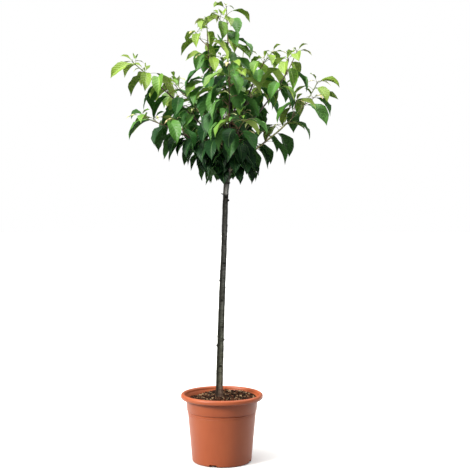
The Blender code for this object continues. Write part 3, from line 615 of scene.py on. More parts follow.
def readTemplate(bm):  # vertices, faces, material slots and loop UVs of one small shape
    layer = bm.loops.layers.uv.verify()
    bm.verts.index_update()
    made = {
        "verts": np.array([vert.co[:] for vert in bm.verts]),
        "faces": [[vert.index for vert in face.verts] for face in bm.faces],
        "slots": [face.material_index for face in bm.faces],
        "uvs": [loop[layer].uv[:] for face in bm.faces for loop in face.loops],
    }
    bm.free()
    return made


def bladeTemplate():  # a flat closed leaf: step along, share across, and -1 on the keel below
    bm = bmesh.new()
    rows = len(blade["rows"]) - 1
    for columns, below in (([(share, 0.0) for share in blade["columns"]], False), (blade["below"], True)):
        across = len(columns) - 1
        grid = bmesh.ops.create_grid(bm, x_segments=rows, y_segments=across, size=1.0)["verts"]
        for vert in grid:
            row = round((vert.co.x + 1.0) / 2.0 * rows)
            column = round((vert.co.y + 1.0) / 2.0 * across)
            vert.co = (blade["rows"][row][0], *columns[column])
        faces = list({face for vert in grid for face in vert.link_faces})
        if below:
            bmesh.ops.reverse_faces(bm, faces=faces)
        for face in faces:
            middle = abs(face.calc_center_median().y) < blade["rib"]
            face.material_index = 2 if below else 1 if middle else 0
    layer = bm.loops.layers.uv.verify()
    for face in bm.faces:
        for loop in face.loops:
            loop[layer].uv = (loop.vert.co.x / blade["fineSteps"], 0.5 + 0.5 * loop.vert.co.y)
    for end in (0, blade["fineSteps"]):
        tip = [vert for vert in bm.verts if abs(vert.co.x - end) < 0.1]
        bmesh.ops.pointmerge(bm, verts=tip, merge_co=(end, 0.0, 0.0))
    bmesh.ops.remove_doubles(bm, verts=bm.verts, dist=1e-4)
    return readTemplate(bm)


bladeShape = bladeTemplate()
upright = np.array(up)


def column(items, key):
    return np.array([item[key] for item in items], dtype=float)


def leafWays(items):  # level directions ahead of each leaf and across it
    heading = column(items, "heading")[:, None]
    x, y, level = np.cos(heading), np.sin(heading), np.zeros_like(heading)
    return np.dstack([x, y, level]), np.dstack([-y, x, level])


def placeBlades(items):  # every leaf's vertices, folded and arched along its own spine
    steps = bladeShape["verts"][:, 0].round().astype(int)
    across = bladeShape["verts"][:, 1]
    drop = bladeShape["verts"][:, 2]
    widths = np.interp(steps, [row[0] for row in blade["rows"]], [row[1] for row in blade["rows"]])
    share = np.arange(blade["fineSteps"] + 1) / blade["fineSteps"]
    slopes = column(items, "slopes")
    length = column(items, "length")[:, None]
    bends = np.stack([  # slopes from the stalk through base, middle and tip to the hooked end
        np.interp(share, blade["marks"], (0.5 * (first + base), base, 0.5 * (base + tip), tip, tip - hook))
        for (first, base, tip), hook in zip(slopes, column(items, "hook"))])
    middle = 0.5 * (bends[:, 1:] + bends[:, :-1])
    zeros = np.zeros((len(items), 1))
    ahead = np.hstack([zeros, np.cumsum(np.cos(middle), axis=1)]) * length / blade["fineSteps"]
    rise = np.hstack([zeros, np.cumsum(np.sin(middle), axis=1)]) * length / blade["fineSteps"]
    flat, side = leafWays(items)
    stalkSlope = slopes[:, :1, None]
    base = column(items, "root")[:, None, :] + column(items, "stalk")[:, None, None] * (
        flat * np.cos(stalkSlope) + upright * np.sin(stalkSlope))
    spine = base + flat * ahead[:, steps, None] + upright * rise[:, steps, None]
    bend = bends[:, steps, None]
    normal = upright * np.cos(bend) - flat * np.sin(bend)
    u = (steps / blade["fineSteps"])[None, :]
    roll = (column(items, "roll")[:, None] + column(items, "twist")[:, None] * u)[:, :, None]
    over = side * np.cos(roll) + normal * np.sin(roll)
    normal = normal * np.cos(roll) - side * np.sin(roll)
    half = 0.5 * blade["slender"] * column(items, "width")[:, None] * widths[None, :]
    fold = column(items, "fold")[:, None]
    size = np.abs(across)[None, :]
    phase = column(items, "phase")[:, None]
    wave = np.sin(math.tau * (blade["waves"] * u + phase + blade["waveShift"] * (across > 0)))
    steep, ease = blade["crease"]
    lift = half * np.sin(fold) * (steep * size - ease * size ** 2)
    lift = lift + blade["wave"] * length * widths[None, :] * wave * size ** 2 * lerp(blade["waveRise"], size)
    lift = lift + blade["keel"] * length * (blade["keelTaper"] - u) * drop[None, :]
    lean = column(items, "sideBend")[:, None] * length * u ** 2
    out = half * np.cos(fold) * across[None, :] + lean
    return spine + over * out[:, :, None] + normal * lift[:, :, None]


def joinCopies(name, shape, places, slots=None):  # one mesh of many copies, each with its own vertices
    count, size = places.shape[:2]
    faces = [[index + copy * size for index in face] for copy in range(count) for face in shape["faces"]]
    mesh = bpy.data.meshes.new(name)
    mesh.from_pydata(places.reshape(-1, 3).tolist(), [], faces)
    slots = slots if slots is not None else [shape["slots"]] * count
    mesh.polygons.foreach_set("material_index", [slot for row in slots for slot in row])
    layer = mesh.uv_layers.new(name="UVMap")
    layer.data.foreach_set("uv", np.tile(np.array(shape["uvs"]), (count, 1)).ravel())
    mesh.update()
    return mesh


tones = {  # blade colours from the heart to the shoot tips, painted shade on low and inner leaves and painted sunlight on high and outer ones, with those of ribs and undersides
    "tops": ("#1d3c21", "#2b532c", "#3b7031", "#589036", "#729f38", "#8aaa3a", "#d9e296", "#e2d29a"),
    "gloss": (0.2, 0.25, 0.35, 0.5, 0.5, 0.5, 0.5, 0.5),
    "ribs": ("#54813c", "#a9c65c"),
    # the pale undersides are partly their own paler green, partly painted light shining through the leaf
    "undersides": ("#528341", "#bad870", "#f0f2ba"),
    "young": 4,          # from this tone on, rib and underside are the pale ones
    "unfolding": 6, "bronze": 7,  # only the leaves that are still unfolding, pale from both sides: partly their own pale green, partly painted light shining through them
    "low": 1.05, "tall": 0.55,     # where the crown starts, and its height, in metres
    "middle": 0.02, "wide": 0.30,  # its middle and reach
    "byHeight": 0.74, "byReach": 0.38,  # how much height and reach count towards the painted sunlight, the lighter tone given to high and outer leaves
    "base": 0.1, "range": 4.4, "rise": 1.2, "byYouth": 1.5, "chance": 0.8,  # from there to a tone
}


def finishLeaf(item, rng):  # the draws that only the fine leaf needs
    item["twist"] = rng.uniform(-blade["twist"], blade["twist"])
    item["fold"] = blade["fold"] * rng.uniform(*blade["folds"]) * (1.0 + blade["youngFold"] * item["youth"])
    item["phase"] = rng.random()
    item["sideBend"] = rng.uniform(-blade["sideBend"], blade["sideBend"])
    item["hook"] = rng.uniform(*blade["tipHooks"])
    crownHeight = (item["root"].z - tones["low"]) / tones["tall"]
    reach = math.hypot(item["root"].x - tones["middle"], item["root"].y) / tones["wide"]
    # painted light and shade: high and outer leaves take lighter tones, low and inner ones darker tones
    paintedSunlight = tones["byHeight"] * max(0.0, min(1.0, crownHeight)) + tones["byReach"] * min(1.0, reach)
    tone = tones["base"] + tones["range"] * paintedSunlight ** tones["rise"] + tones["byYouth"] * item["youth"]
    tone += rng.uniform(-tones["chance"], tones["chance"])
    item["tone"] = int(max(0, min(tones["unfolding"] - 1, round(tone))))
    return item


def samplePoints(items):  # every third vertex of each leaf, for finding room beside it
    return placeBlades(items)[:, ::3, :]


spare = {"sizes": (0.80, 0.62), "turns": (0, 40, -40, 80, -80, 125, -125, 170), "room": 0.0065,
         "stalk": 0.9, "near": 0.12}


def addCrowded(rng):  # leaves that had no room at full size stand smaller between the others
    taken = np.vstack([samplePoints(m["leaves"]).reshape(-1, 3) for m in masses])
    added = 0
    for mass in masses:
        for item in mass["crowded"]:
            finishLeaf(item, rng)
            for size in spare["sizes"]:
                for turn in spare["turns"]:
                    tried = dict(item, length=item["length"] * size, width=item["width"] * size,
                                 stalk=item["stalk"] * spare["stalk"],
                                 heading=item["heading"] + math.radians(turn))
                    points = samplePoints([tried])[0]
                    near = taken[np.abs(taken - points.mean(axis=0)).max(axis=1) < spare["near"]]
                    gaps = np.linalg.norm(near[:, None, :] - points[None, :, :], axis=2)
                    if not len(near) or gaps.min() > spare["room"]:
                        break
                else:
                    continue
                mass["leaves"].append(tried)
                taken = np.vstack([taken, points])
                added += 1
                break
    return added


tuft = {"count": 3, "lengths": (0.026, 0.052), "width": 0.25, "slopes": (54, 22, -20),
        "fold": math.radians(24.0), "bronze": 0.35, "spread": (0.85, 1.15), "lean": 12, "jitter": 9,
        "stalk": (0.003, 0.004), "step": 0.0015, "turn": 0.3, "roll": 0.3, "twist": 0.2,
        "above": 0.020, "short": 0.6}  # how far one may rise over the top shoot, and the share left of it


def addTufts(rng):  # the small unfolding leaves at each tip
    for mass in masses:
        for line in [mass["line"][0]] + mass["twigs"]:
            tip, before = line[-1], line[-2]
            along = (tip - before).normalized()
            first = rng.uniform(0.0, math.tau)
            for index in range(tuft["count"]):
                length = lerp(tuft["lengths"], index / (tuft["count"] - 1)) * rng.uniform(*tuft["spread"])
                if tip.z + length > stem["axis"][-1][0] + tuft["above"]:
                    length *= tuft["short"]
                mass["leaves"].append({
                    "root": tip - along * tuft["step"] * index, "along": along,
                    "heading": first + index * leaf["golden"] + rng.uniform(-tuft["turn"], tuft["turn"]),
                    "slopes": [math.radians(slope - tuft["lean"] * index
                                            + rng.uniform(-tuft["jitter"], tuft["jitter"]))
                               for slope in tuft["slopes"]],
                    "stalk": tuft["stalk"][0] + tuft["stalk"][1] * index,
                    "length": length, "width": length * tuft["width"],
                    "roll": rng.uniform(-tuft["roll"], tuft["roll"]), "youth": 1.0,
                    "twist": rng.uniform(-tuft["twist"], tuft["twist"]), "fold": tuft["fold"],
                    "phase": rng.random(), "sideBend": 0.0, "hook": 0.0,
                    "tone": tones["bronze"] - (rng.random() > tuft["bronze"]),
                })


clearing = {  # the stretch that shows, as shares of its points, and the room beside and before it
    "bough": "right_low", "first": 0.30, "last": 0.74, "room": 0.010, "ahead": 0.004,
}


def seen(points):  # where the camera sees points, in metres at the pot's axis
    scale = view["distance"] / (view["distance"] + points[:, 1:2])
    return np.hstack([points[:, 0:1], points[:, 2:3] - view["height"]]) * scale


def clearBough():  # drops the leaves that hang before the bough that stands clear on the right
    mass = next(mass for mass in masses if mass["name"] == clearing["bough"])
    line = boughs[clearing["bough"]][0] + mass["line"][0][1:]
    stretch = np.array(line[round(clearing["first"] * len(line)):round(clearing["last"] * len(line))])
    dropped = 0
    for mass in masses:
        for item in list(mass["leaves"]):
            points = placeBlades([item])[0]
            gaps = np.linalg.norm(seen(points)[:, None, :] - seen(stretch)[None, :, :], axis=2)
            before = points[:, None, 1] < stretch[None, :, 1] - clearing["ahead"]
            if ((gaps < clearing["room"]) & before).any():
                mass["leaves"].remove(item)
                dropped += 1
    return dropped


growth = random.Random(4)
for mass in masses:
    for item in mass["leaves"]:
        finishLeaf(item, growth)
print("leaves with less room:", addCrowded(growth))
addTufts(growth)
print("leaves cleared from before the bough:", clearBough())


def slotsOf(item):  # material slot of each face of one leaf
    young = item["tone"] >= tones["young"]
    tops = len(tones["tops"])
    unfolding = item["tone"] >= tones["unfolding"]
    choice = (item["tone"], tops + young, tops + 2 + young + unfolding)
    return [choice[slot] for slot in bladeShape["slots"]]


stalk = {"sides": 5, "rings": 5, "places": (0.0, 0.4, 1.0), "radii": (0.0011, 0.00075, 0.0008),
         "arch": 0.07, "grown": 0.07, "thinnest": 0.5}  # leaves shorter than grown have thinner stalks


def stalkTemplate():  # a straight tube: ring, and the place round it
    bm = bmesh.new()
    addTube(bm, [Vector((0.0, 0.0, float(ring))) for ring in range(stalk["rings"] + 1)],
            [1.0] * (stalk["rings"] + 1), stalk["sides"])
    return readTemplate(bm)


def placeStalks(shape, items):  # each stalk bends from its twig up into its leaf's midrib
    share = shape["verts"][:, 2] / stalk["rings"]
    flat, side = leafWays(items)
    slope = column(items, "slopes")[:, :1, None]
    length = column(items, "stalk")[:, None, None]
    along = flat * np.cos(slope) + upright * np.sin(slope)
    normal = upright * np.cos(slope) - flat * np.sin(slope)
    t = share[None, :, None]
    centre = column(items, "root")[:, None, :] + along * length * t
    centre = centre + normal * length * stalk["arch"] * np.sin(math.pi * t)
    radius = np.interp(share, stalk["places"], stalk["radii"])[None, :, None]
    grown = column(items, "length")[:, None, None] / stalk["grown"]
    radius = radius * np.clip(grown, stalk["thinnest"], 1.0)
    across, below = shape["verts"][:, 0][None, :, None], shape["verts"][:, 1][None, :, None]
    return centre + (side * across - normal * below) * radius


bud = {"length": 0.0055, "radius": 0.0013, "segments": 6, "rings": 4, "lean": 0.6,
       "pinch": 0.45, "seat": 0.8}  # how much narrower its tip is, and how far its middle is up


def budTemplate():
    bm = bmesh.new()
    bmesh.ops.create_uvsphere(bm, u_segments=bud["segments"], v_segments=bud["rings"], radius=1.0)
    for vert in bm.verts:  # pointed above, blunt below
        pinch = 1.0 - bud["pinch"] * max(0.0, vert.co.z)
        vert.co = Vector((vert.co.x * pinch * bud["radius"], vert.co.y * pinch * bud["radius"],
                          (vert.co.z + bud["seat"]) * 0.5 * bud["length"]))
    return readTemplate(bm)


def placeBuds(shape, spots):
    places = []
    for point, direction in spots:
        turn = direction.to_track_quat("Z", "Y").to_matrix()
        places.append(shape["verts"] @ np.array(turn).T + np.array(point))
    return np.array(places)


# pot and compost

pot = {  # radius and height pairs in metres, as the frame's pot has them
    "segments": 96, "wall": 0.0025,
    "lipCentre": (0.142, 0.236), "lipOuter": (0.008, 0.009), "lipInner": (0.0055, 0.0062), "lipSquare": 0.6,
    "collarTop": (0.1311, 0.2255), "collarFoot": (0.1272, 0.1846),
    "bodyTop": (0.1247, 0.1822), "bodyFoot": (0.1088, 0.0120),
    "lipArcs": ((-62, 0, 8), (12, 190, 15)), "hollowArc": (215, -58, 12),  # from, to and steps
    "undercut": (0.0016, 0.0032, 0.0002, 0.0012),  # depth, height, ledge and slant of the collar's channel
    "collarEdge": ((-0.0008, -0.0012), (-0.0001, -0.0004), (0.0002, 0.0008)),
    "groove": (0.1720, 0.0008, 0.0013, 0.0003),  # height, depth and half widths of the line under the collar
    "floor": 0.009, "floorEdge": (0.0018, 0.0005), "channel": (0.062, 0.090), "channelHeight": 0.006,
    "channelSlant": (0.0025, 0.0015, 0.0004, -0.0006), "channelRound": 0.0006,
    "foot": 0.1025, "footInset": 0.0006, "footRound": (0.0060, 0.0058), "footArc": (-90, 0, 5),
    "notches": 4, "notchSize": (0.036, 0.028, 0.018), "notchMiddle": 0.104, "notchBevel": 0.002,
    "notchFirst": math.radians(-107.5), "drainRadius": 0.006, "drainCircle": 0.076, "drainDepth": 0.02,
    "drainSides": 20,
}


def arc(centre, halves, first, last, steps, power=1.0):  # a power under 1 makes it squarer
    points = []
    for step in range(steps + 1):
        angle = math.radians(lerp((first, last), step / steps))
        bends = (math.cos(angle), math.sin(angle))
        across, rise = [math.copysign(abs(bend) ** power, bend) for bend in bends]
        points.append((centre[0] + halves[0] * across, centre[1] + halves[1] * rise))
    return points


def turned(profile, segments):  # solid of revolution from a profile that runs from the axis back to it
    bm = bmesh.new()
    verts = [bm.verts.new((radius, 0.0, height)) for radius, height in profile]
    edges = [bm.edges.new(pair) for pair in zip(verts, verts[1:])]
    bmesh.ops.spin(bm, geom=verts + edges, axis=(0, 0, 1), cent=(0, 0, 0), angle=math.tau,
                   steps=segments, use_merge=True)
    bmesh.ops.remove_doubles(bm, verts=bm.verts, dist=1e-6)
    bmesh.ops.recalc_face_normals(bm, faces=bm.faces)
    return bm


def innerWall(inset):  # from the floor's rounded edge up to the collar
    (topR, topZ), (collarR, collarZ) = pot["bodyTop"], pot["collarFoot"]
    foot, floor = pot["bodyFoot"][0] - inset, pot["floor"]
    far, near = pot["floorEdge"]
    return [(foot - far, floor), (foot - near, floor + near), (foot, floor + far),
            (topR - inset, topZ), (collarR - inset, collarZ)]


def potProfile():
    (channelIn, channelOut), rise, foot = pot["channel"], pot["channelHeight"], pot["foot"]
    soft = pot["channelRound"]
    slant = list(zip(pot["channelSlant"], (0.0, soft, rise - soft, rise)))
    underside = [(0.0, 0.0)] + [(channelIn - out, height) for out, height in slant]
    underside += [(channelOut + out, height) for out, height in slant[::-1]]
    edge = arc((foot - pot["footInset"], pot["footRound"][1]), pot["footRound"], *pot["footArc"])
    (bodyR, bodyZ), (collarR, collarZ) = pot["bodyTop"], pot["collarFoot"]
    grooveZ, depth, half, bed = pot["groove"]
    slope = (bodyR - pot["bodyFoot"][0]) / (bodyZ - pot["bodyFoot"][1])
    grooveR = bodyR - (bodyZ - grooveZ) * slope
    groove = [(grooveR - half * slope, grooveZ - half), (grooveR - depth, grooveZ - bed),
              (grooveR - depth, grooveZ + bed), (grooveR + half * slope, grooveZ + half)]
    cut, cutHeight, ledge, bevel = pot["undercut"]
    step = [(bodyR - ledge, bodyZ - cutHeight), (bodyR - cut, bodyZ - cutHeight + bevel)]
    step += [(bodyR - cut, bodyZ)] + [(collarR + out, collarZ + over) for out, over in pot["collarEdge"]]
    hollow = arc(pot["lipCentre"], pot["lipInner"], *pot["hollowArc"])
    outer, top = pot["lipArcs"]
    lip = arc(pot["lipCentre"], pot["lipOuter"], *outer, pot["lipSquare"])
    lip += arc(pot["lipCentre"], pot["lipOuter"], *top)
    inside = [(pot["collarTop"][0] - pot["wall"], pot["collarTop"][1])] + innerWall(pot["wall"])[::-1]
    outside = underside + edge + [pot["bodyFoot"]] + groove + step + [pot["collarTop"]]
    return outside + hollow + lip + inside + [(0.0, pot["floor"])]


def potCutters(group):  # notches in the foot and drain holes in the floor
    for index in range(pot["notches"]):
        turn = Matrix.Rotation(pot["notchFirst"] + index * math.tau / pot["notches"], 4, "Z")
        notch = bmesh.new()
        size = Matrix.Diagonal((*pot["notchSize"], 1.0))
        place = turn @ Matrix.Translation((pot["notchMiddle"], 0.0, 0.0)) @ size
        bmesh.ops.create_cube(notch, size=1.0, matrix=place)
        top = [edge for edge in notch.edges if all(vert.co.z > 0.0 for vert in edge.verts)]
        bmesh.ops.bevel(notch, geom=top, offset=pot["notchBevel"], affect="EDGES", segments=2, profile=0.5,
                        material=-1)
        group.objects.link(bpy.data.objects.new("notch", meshOf("notch", notch)))
        drain = bmesh.new()
        place = turn @ Matrix.Translation((pot["drainCircle"], 0.0, pot["floor"]))
        bmesh.ops.create_cone(drain, cap_ends=True, segments=pot["drainSides"], radius1=pot["drainRadius"],
                              radius2=pot["drainRadius"], depth=pot["drainDepth"], matrix=place)
        group.objects.link(bpy.data.objects.new("drain", meshOf("drain", drain)))


def makePot():
    body = bpy.data.objects.new("pot_uncut", meshOf("pot_body", turned(potProfile(), pot["segments"])))
    bpy.context.scene.collection.objects.link(body)
    group = bpy.data.collections.new("pot_cutters")
    bpy.context.scene.collection.children.link(group)
    potCutters(group)
    cut = body.modifiers.new("cut", "BOOLEAN")
    cut.operation = "DIFFERENCE"
    cut.operand_type = "COLLECTION"
    cut.collection = group
    cut.solver = "EXACT"
    bpy.context.view_layer.update()
    mesh = bpy.data.meshes.new_from_object(body.evaluated_get(bpy.context.evaluated_depsgraph_get()))
    for item in list(group.objects) + [body]:
        bpy.data.objects.remove(item)
    bpy.data.collections.remove(group)
    return mesh


soil = {
    "edge": 0.1276, "edgeHeight": 0.2200, "topHeight": 0.2318, "flat": 0.027, "rings": 48, "segments": 144,
    "lump": 0.0034, "lumpSize": 0.020, "grain": 0.0018, "grainSize": 0.0050,
    "bank": 0.0120, "bankHeading": math.radians(55.0),  # heaped up at the back right
    "shoulder": 0.05,  # radius inside which lumps fade and outside which the bank rises
    "gap": 0.0003,     # to the pot's wall and floor
}


def soilHeight(x, y):
    radius = math.hypot(x, y)
    rise = smoothStep((soil["edge"] - radius) / (soil["edge"] - soil["flat"]))
    height = lerp((soil["edgeHeight"], soil["topHeight"]), rise)
    shoulder = soil["shoulder"]
    lumps = noise.noise(Vector((x, y, 0.3)) / soil["lumpSize"])
    height += soil["lump"] * smoothStep(radius / shoulder) * lumps
    height += soil["grain"] * noise.noise(Vector((x, y, 0.7)) / soil["grainSize"])
    bank = smoothStep(math.cos(math.atan2(y, x) - soil["bankHeading"]))
    return height + soil["bank"] * bank * smoothStep((radius - shoulder) / shoulder)


def makeCompost():
    wall = innerWall(pot["wall"] + soil["gap"])
    wall[0] = (wall[0][0], wall[0][1] + soil["gap"])
    edge = soil["edge"] - soil["gap"]
    top = [(edge * (1.0 - ring / soil["rings"]), soil["edgeHeight"]) for ring in range(soil["rings"])]
    bm = turned([(0.0, wall[0][1])] + wall + top + [(0.0, soil["edgeHeight"])], soil["segments"])
    for vert in bm.verts:
        if vert.co.z > soil["edgeHeight"] - 1e-5:
            vert.co.z = soilHeight(vert.co.x, vert.co.y)
    return meshOf("compost", bm)


chip = {  # shreds of bark and wood on the compost: share of each colour, and sizes in metres
    "count": 2600, "seed": 11, "lengths": (0.003, 0.012), "widths": (0.45, 0.95), "heights": (0.2, 0.5),
    "tilt": 0.6, "endTilt": 0.6, "shares": (0.38, 0.68, 0.85, 1.0), "clear": 0.004, "edgeRoom": 0.001,
    "small": 2.2, "uneven": (0.8, 1.2), "lift": 0.25,  # lifted by this share of its height
    "trunkRoom": 0.4, "cornerCut": 0.22, "ends": (0.5, 0.3),  # room as a share of its length
}


def chipTemplate():  # a split shred: a cube with its long edges broken and its ends uneven
    bm = bmesh.new()
    bmesh.ops.create_cube(bm, size=1.0)
    long = [edge for edge in bm.edges if abs(edge.verts[0].co.x - edge.verts[1].co.x) > 0.5]
    bmesh.ops.bevel(bm, geom=long, offset=chip["cornerCut"], affect="EDGES", segments=1, profile=0.5,
                    material=-1)
    aside, above = chip["ends"]
    for vert in bm.verts:
        vert.co.x *= 1.0 - aside * abs(vert.co.y) - above * max(0.0, vert.co.z)
    return readTemplate(bm)


def placeChips(shape):
    rng = random.Random(chip["seed"])
    places, slots = [], []
    trunkFoot = axisAt(stem["axis"][0][0])
    while len(places) < chip["count"]:
        radius = (soil["edge"] - chip["clear"]) * math.sqrt(rng.random())
        angle = rng.uniform(0.0, math.tau)
        x, y = radius * math.cos(angle), radius * math.sin(angle)
        length = lerp(chip["lengths"], rng.random() ** chip["small"])
        size = (length, length * rng.uniform(*chip["widths"]), length * rng.uniform(*chip["heights"]))
        lean = Matrix.Rotation(rng.gauss(0.0, chip["tilt"]), 3, "X") @ Matrix.Rotation(
            rng.gauss(0.0, chip["endTilt"] * chip["tilt"]), 3, "Y")
        turn = Matrix.Rotation(rng.uniform(0.0, math.tau), 3, "Z") @ lean
        nearTrunk = math.hypot(x - trunkFoot[0].x, y) < trunkFoot[1] + chip["trunkRoom"] * length
        if nearTrunk or radius + 0.5 * length > soil["edge"] - chip["edgeRoom"]:
            continue
        uneven = np.array([[rng.uniform(*chip["uneven"]) for axis in range(3)] for vert in shape["verts"]])
        points = (shape["verts"] * uneven * np.array(size)) @ np.array(turn).T
        height = soilHeight(x, y) + chip["lift"] * size[2]
        places.append(points + np.array((x, y, height)))
        draw = rng.random()
        slots.append([sum(draw > share for share in chip["shares"])] * len(shape["faces"]))
    return np.array(places), slots


# materials

def plastic():  # polypropylene, injection moulded: satin, with a fine moulded grain and faint flow marks
    made, tree, shader = newMaterial("moulded_polypropylene", "#bc6037", 0.36, 1.49)
    flow = {"Scale": 1.0, "Detail": 3.0, "Roughness": 0.55}
    marks = addPattern(tree, "Noise", flow, (14.0, 14.0, 5.0)).outputs["Fac"]  # 70 mm wide, 200 mm high
    tint = addRamp(tree, marks, ((0.30, "#b55931"), (0.55, "#bc5f36"), (0.80, "#c2673e")))
    tree.links.new(tint, shader.inputs["Base Color"])
    gloss = addNode(tree, "ShaderNodeMapRange", {"To Min": 0.36, "To Max": 0.47}, {"Value": marks})
    tree.links.new(gloss.outputs["Result"], shader.inputs["Roughness"])
    grain = addPattern(tree, "Noise", {"Scale": 1600.0, "Detail": 1.0})  # 0.6 mm moulded grain
    addBump(tree, shader, grain.outputs["Fac"], 0.12, 0.0004)
    return made


def barkCompost():  # composted bark, matt: near black where it is wet, with brown and straw-coloured crumbs
    made, tree, shader = newMaterial("composted_bark", "#33261c", 0.95, 1.5, 0.1)
    crumbs = addPattern(tree, "Voronoi", {"Scale": 260.0, "Randomness": 1.0})  # 4 mm crumbs
    tint = addRamp(tree, crumbs.outputs["Color"], (
        (0.0, "#120a06"), (0.42, "#21140d"), (0.68, "#3b2719"), (0.86, "#6a4c35"), (0.97, "#a58661")))
    tree.links.new(tint, shader.inputs["Base Color"])
    addBump(tree, shader, crumbs.outputs["Distance"], 0.8, 0.002)
    return made


def shred(name, colour, dark):  # split softwood bark, dry: matt, with a grain of two millimetres
    made, tree, shader = newMaterial(name, colour, 0.9, 1.5, 0.15)
    fibre = addPattern(tree, "Noise", {"Scale": 500.0, "Detail": 2.0})
    tint = addRamp(tree, fibre.outputs["Fac"], ((0.30, dark), (0.65, colour)))
    tree.links.new(tint, shader.inputs["Base Color"])
    return made


def trunkBark():  # young cherry bark: smooth, greyish, with cross bands and a film of algae low down; painted shade darkens its -x side and a painted reflection of the pot tints its foot pink
    made, tree, shader = newMaterial("cherry_bark", "#5a5750", 0.78, 1.45, 0.12)
    place = addNode(tree, "ShaderNodeTexCoord").outputs["Object"]
    parts = addNode(tree, "ShaderNodeSeparateXYZ", links={"Vector": place})
    metres = {"From Min": 0.22, "From Max": 1.32}
    height = addNode(tree, "ShaderNodeMapRange", metres, {"Value": parts.outputs["Z"]}).outputs["Result"]
    colour = addRamp(tree, height, (  # pinkish foot, a painted reflection of the terracotta pot, greenish shaft, then the pale graft, partly its own colour and partly painted light, between dark lines
        (0.00, "#b08c79"), (0.035, "#a99280"), (0.060, "#a0a18c"), (0.20, "#999c8b"), (0.42, "#94948f"),
        (0.62, "#8d8d88"), (0.672, "#6a6862"), (0.679, "#403e3a"), (0.685, "#f4f2ee"), (0.713, "#f6f4f0"),
        (0.719, "#45413c"), (0.726, "#f0eee8"), (0.750, "#c4bdb2"), (0.790, "#6b625a"), (1.00, "#4c4038")))
    worn = addRamp(tree, height, (  # how much of bands and blotches shows: less on the graft
        (0.672, "#e8e8e8"), (0.684, "#808080"), (0.745, "#808080"), (0.790, "#e8e8e8")))
    shadeAndScars = addNode(tree, "ShaderNodeAttribute", attribute_name="painted_shade_and_scars").outputs["Fac"]
    coarse = {"Scale": 1.0, "Detail": 4.0, "Roughness": 0.65}
    bands = addPattern(tree, "Noise", coarse, (60.0, 60.0, 420.0)).outputs["Fac"]  # 2 mm high, 17 mm round
    blotch = addPattern(tree, "Noise", {"Scale": 70.0, "Detail": 5.0, "Roughness": 0.7}).outputs["Fac"]
    layers = (
        # painted shade and light round the trunk: darker towards the -x side, whitest a little past the
        # middle, greyer at the +x edge; the dark stops also colour scars and stubs
        (shadeAndScars, ((0.05, "#d8d8d4"), (0.32, "#ffffff"), (0.52, "#b2b2af"), (0.77, "#424240"),
                   (0.97, "#696965"))),
        (bands, ((0.34, "#7d7d7d"), (0.48, "#ffffff"), (0.66, "#ffffff"), (0.74, "#c9c4bb"))),
        (blotch, ((0.34, "#7f7b76"), (0.60, "#ffffff"))),
    )
    for source, stops in layers:
        mixed = addNode(tree, "ShaderNodeMix", {"Factor": 1.0}, data_type="RGBA", blend_type="MULTIPLY")
        tree.links.new(colour, mixed.inputs["A"])
        tree.links.new(addRamp(tree, source, stops), mixed.inputs["B"])
        if source is not shadeAndScars:
            tree.links.new(worn, mixed.inputs["Factor"])
        colour = mixed.outputs["Result"]
    tree.links.new(colour, shader.inputs["Base Color"])
    addBump(tree, shader, bands, 0.6, 0.0012)
    return made


def shootBark(name, dark, light, roughness):  # one-year shoots: smooth and waxy, dotted with pale pores
    made, tree, shader = newMaterial(name, light, roughness, 1.45)
    pores = addPattern(tree, "Noise", {"Scale": 160.0, "Detail": 3.0}).outputs["Fac"]  # 6 mm apart
    tree.links.new(addRamp(tree, pores, ((0.32, dark), (0.64, light))), shader.inputs["Base Color"])
    addBump(tree, shader, pores, 0.3, 0.0005)
    return made


def leafBlade(name, colour, roughness, gloss):  # waxy cuticle over veins: catches the light softly
    made, tree, shader = newMaterial(name, colour, roughness, 1.42, gloss)
    place = addNode(tree, "ShaderNodeUVMap", uv_map="UVMap")
    parts = addNode(tree, "ShaderNodeSeparateXYZ", links={"Vector": place.outputs["UV"]})
    fromRib = addNode(tree, "ShaderNodeMath", {1: 0.5}, {0: parts.outputs["Y"]}, operation="SUBTRACT")
    away = addNode(tree, "ShaderNodeMath", links={0: fromRib.outputs[0]}, operation="ABSOLUTE")
    lean = addNode(tree, "ShaderNodeMath", {1: -blade["veinLean"]},
                   {0: away.outputs[0], 2: parts.outputs["X"]}, operation="MULTIPLY_ADD")
    ripple = addNode(tree, "ShaderNodeMath", {1: blade["veins"] * math.tau}, {0: lean.outputs[0]},
                     operation="MULTIPLY")
    ridge = addNode(tree, "ShaderNodeMath", links={0: ripple.outputs[0]}, operation="SINE")
    addBump(tree, shader, ridge.outputs[0], 0.25, 0.0009)
    return made


def leafMaterials():
    tops = enumerate(zip(tones["tops"], tones["gloss"]), 1)
    made = [leafBlade("cherry_leaf_%d" % index, colour, 0.40, gloss) for index, (colour, gloss) in tops]
    made += [newMaterial("leaf_rib_%d" % index, colour, 0.5)[0]
             for index, colour in enumerate(tones["ribs"], 1)]
    made += [leafBlade("leaf_underside_%d" % index, colour, 0.65, 0.2)
             for index, colour in enumerate(tones["undersides"], 1)]
    return made


# pieces

leafGroups = {
    "leaves_right": ("right_low", "right_mid", "right_upper"),
    "leaves_left": ("left_low", "left_arch", "left_upright"),
    "leaves_front": ("front_right_low", "front"),
    "leaves_back": ("back_low", "back_right", "back_left", "back_upright"),
    "leaves_leader": ("leader",),
    "leaves_skirt": tuple(mass["name"] for mass in masses if mass["name"].startswith("skirt")),
    "leaves_heart": tuple(mass["name"] for mass in masses if mass["name"].startswith("heart")),
}


def settle(piece, slot, *nodes):
    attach(piece, "root")
    if nodes:
        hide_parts(*nodes)
    return piece


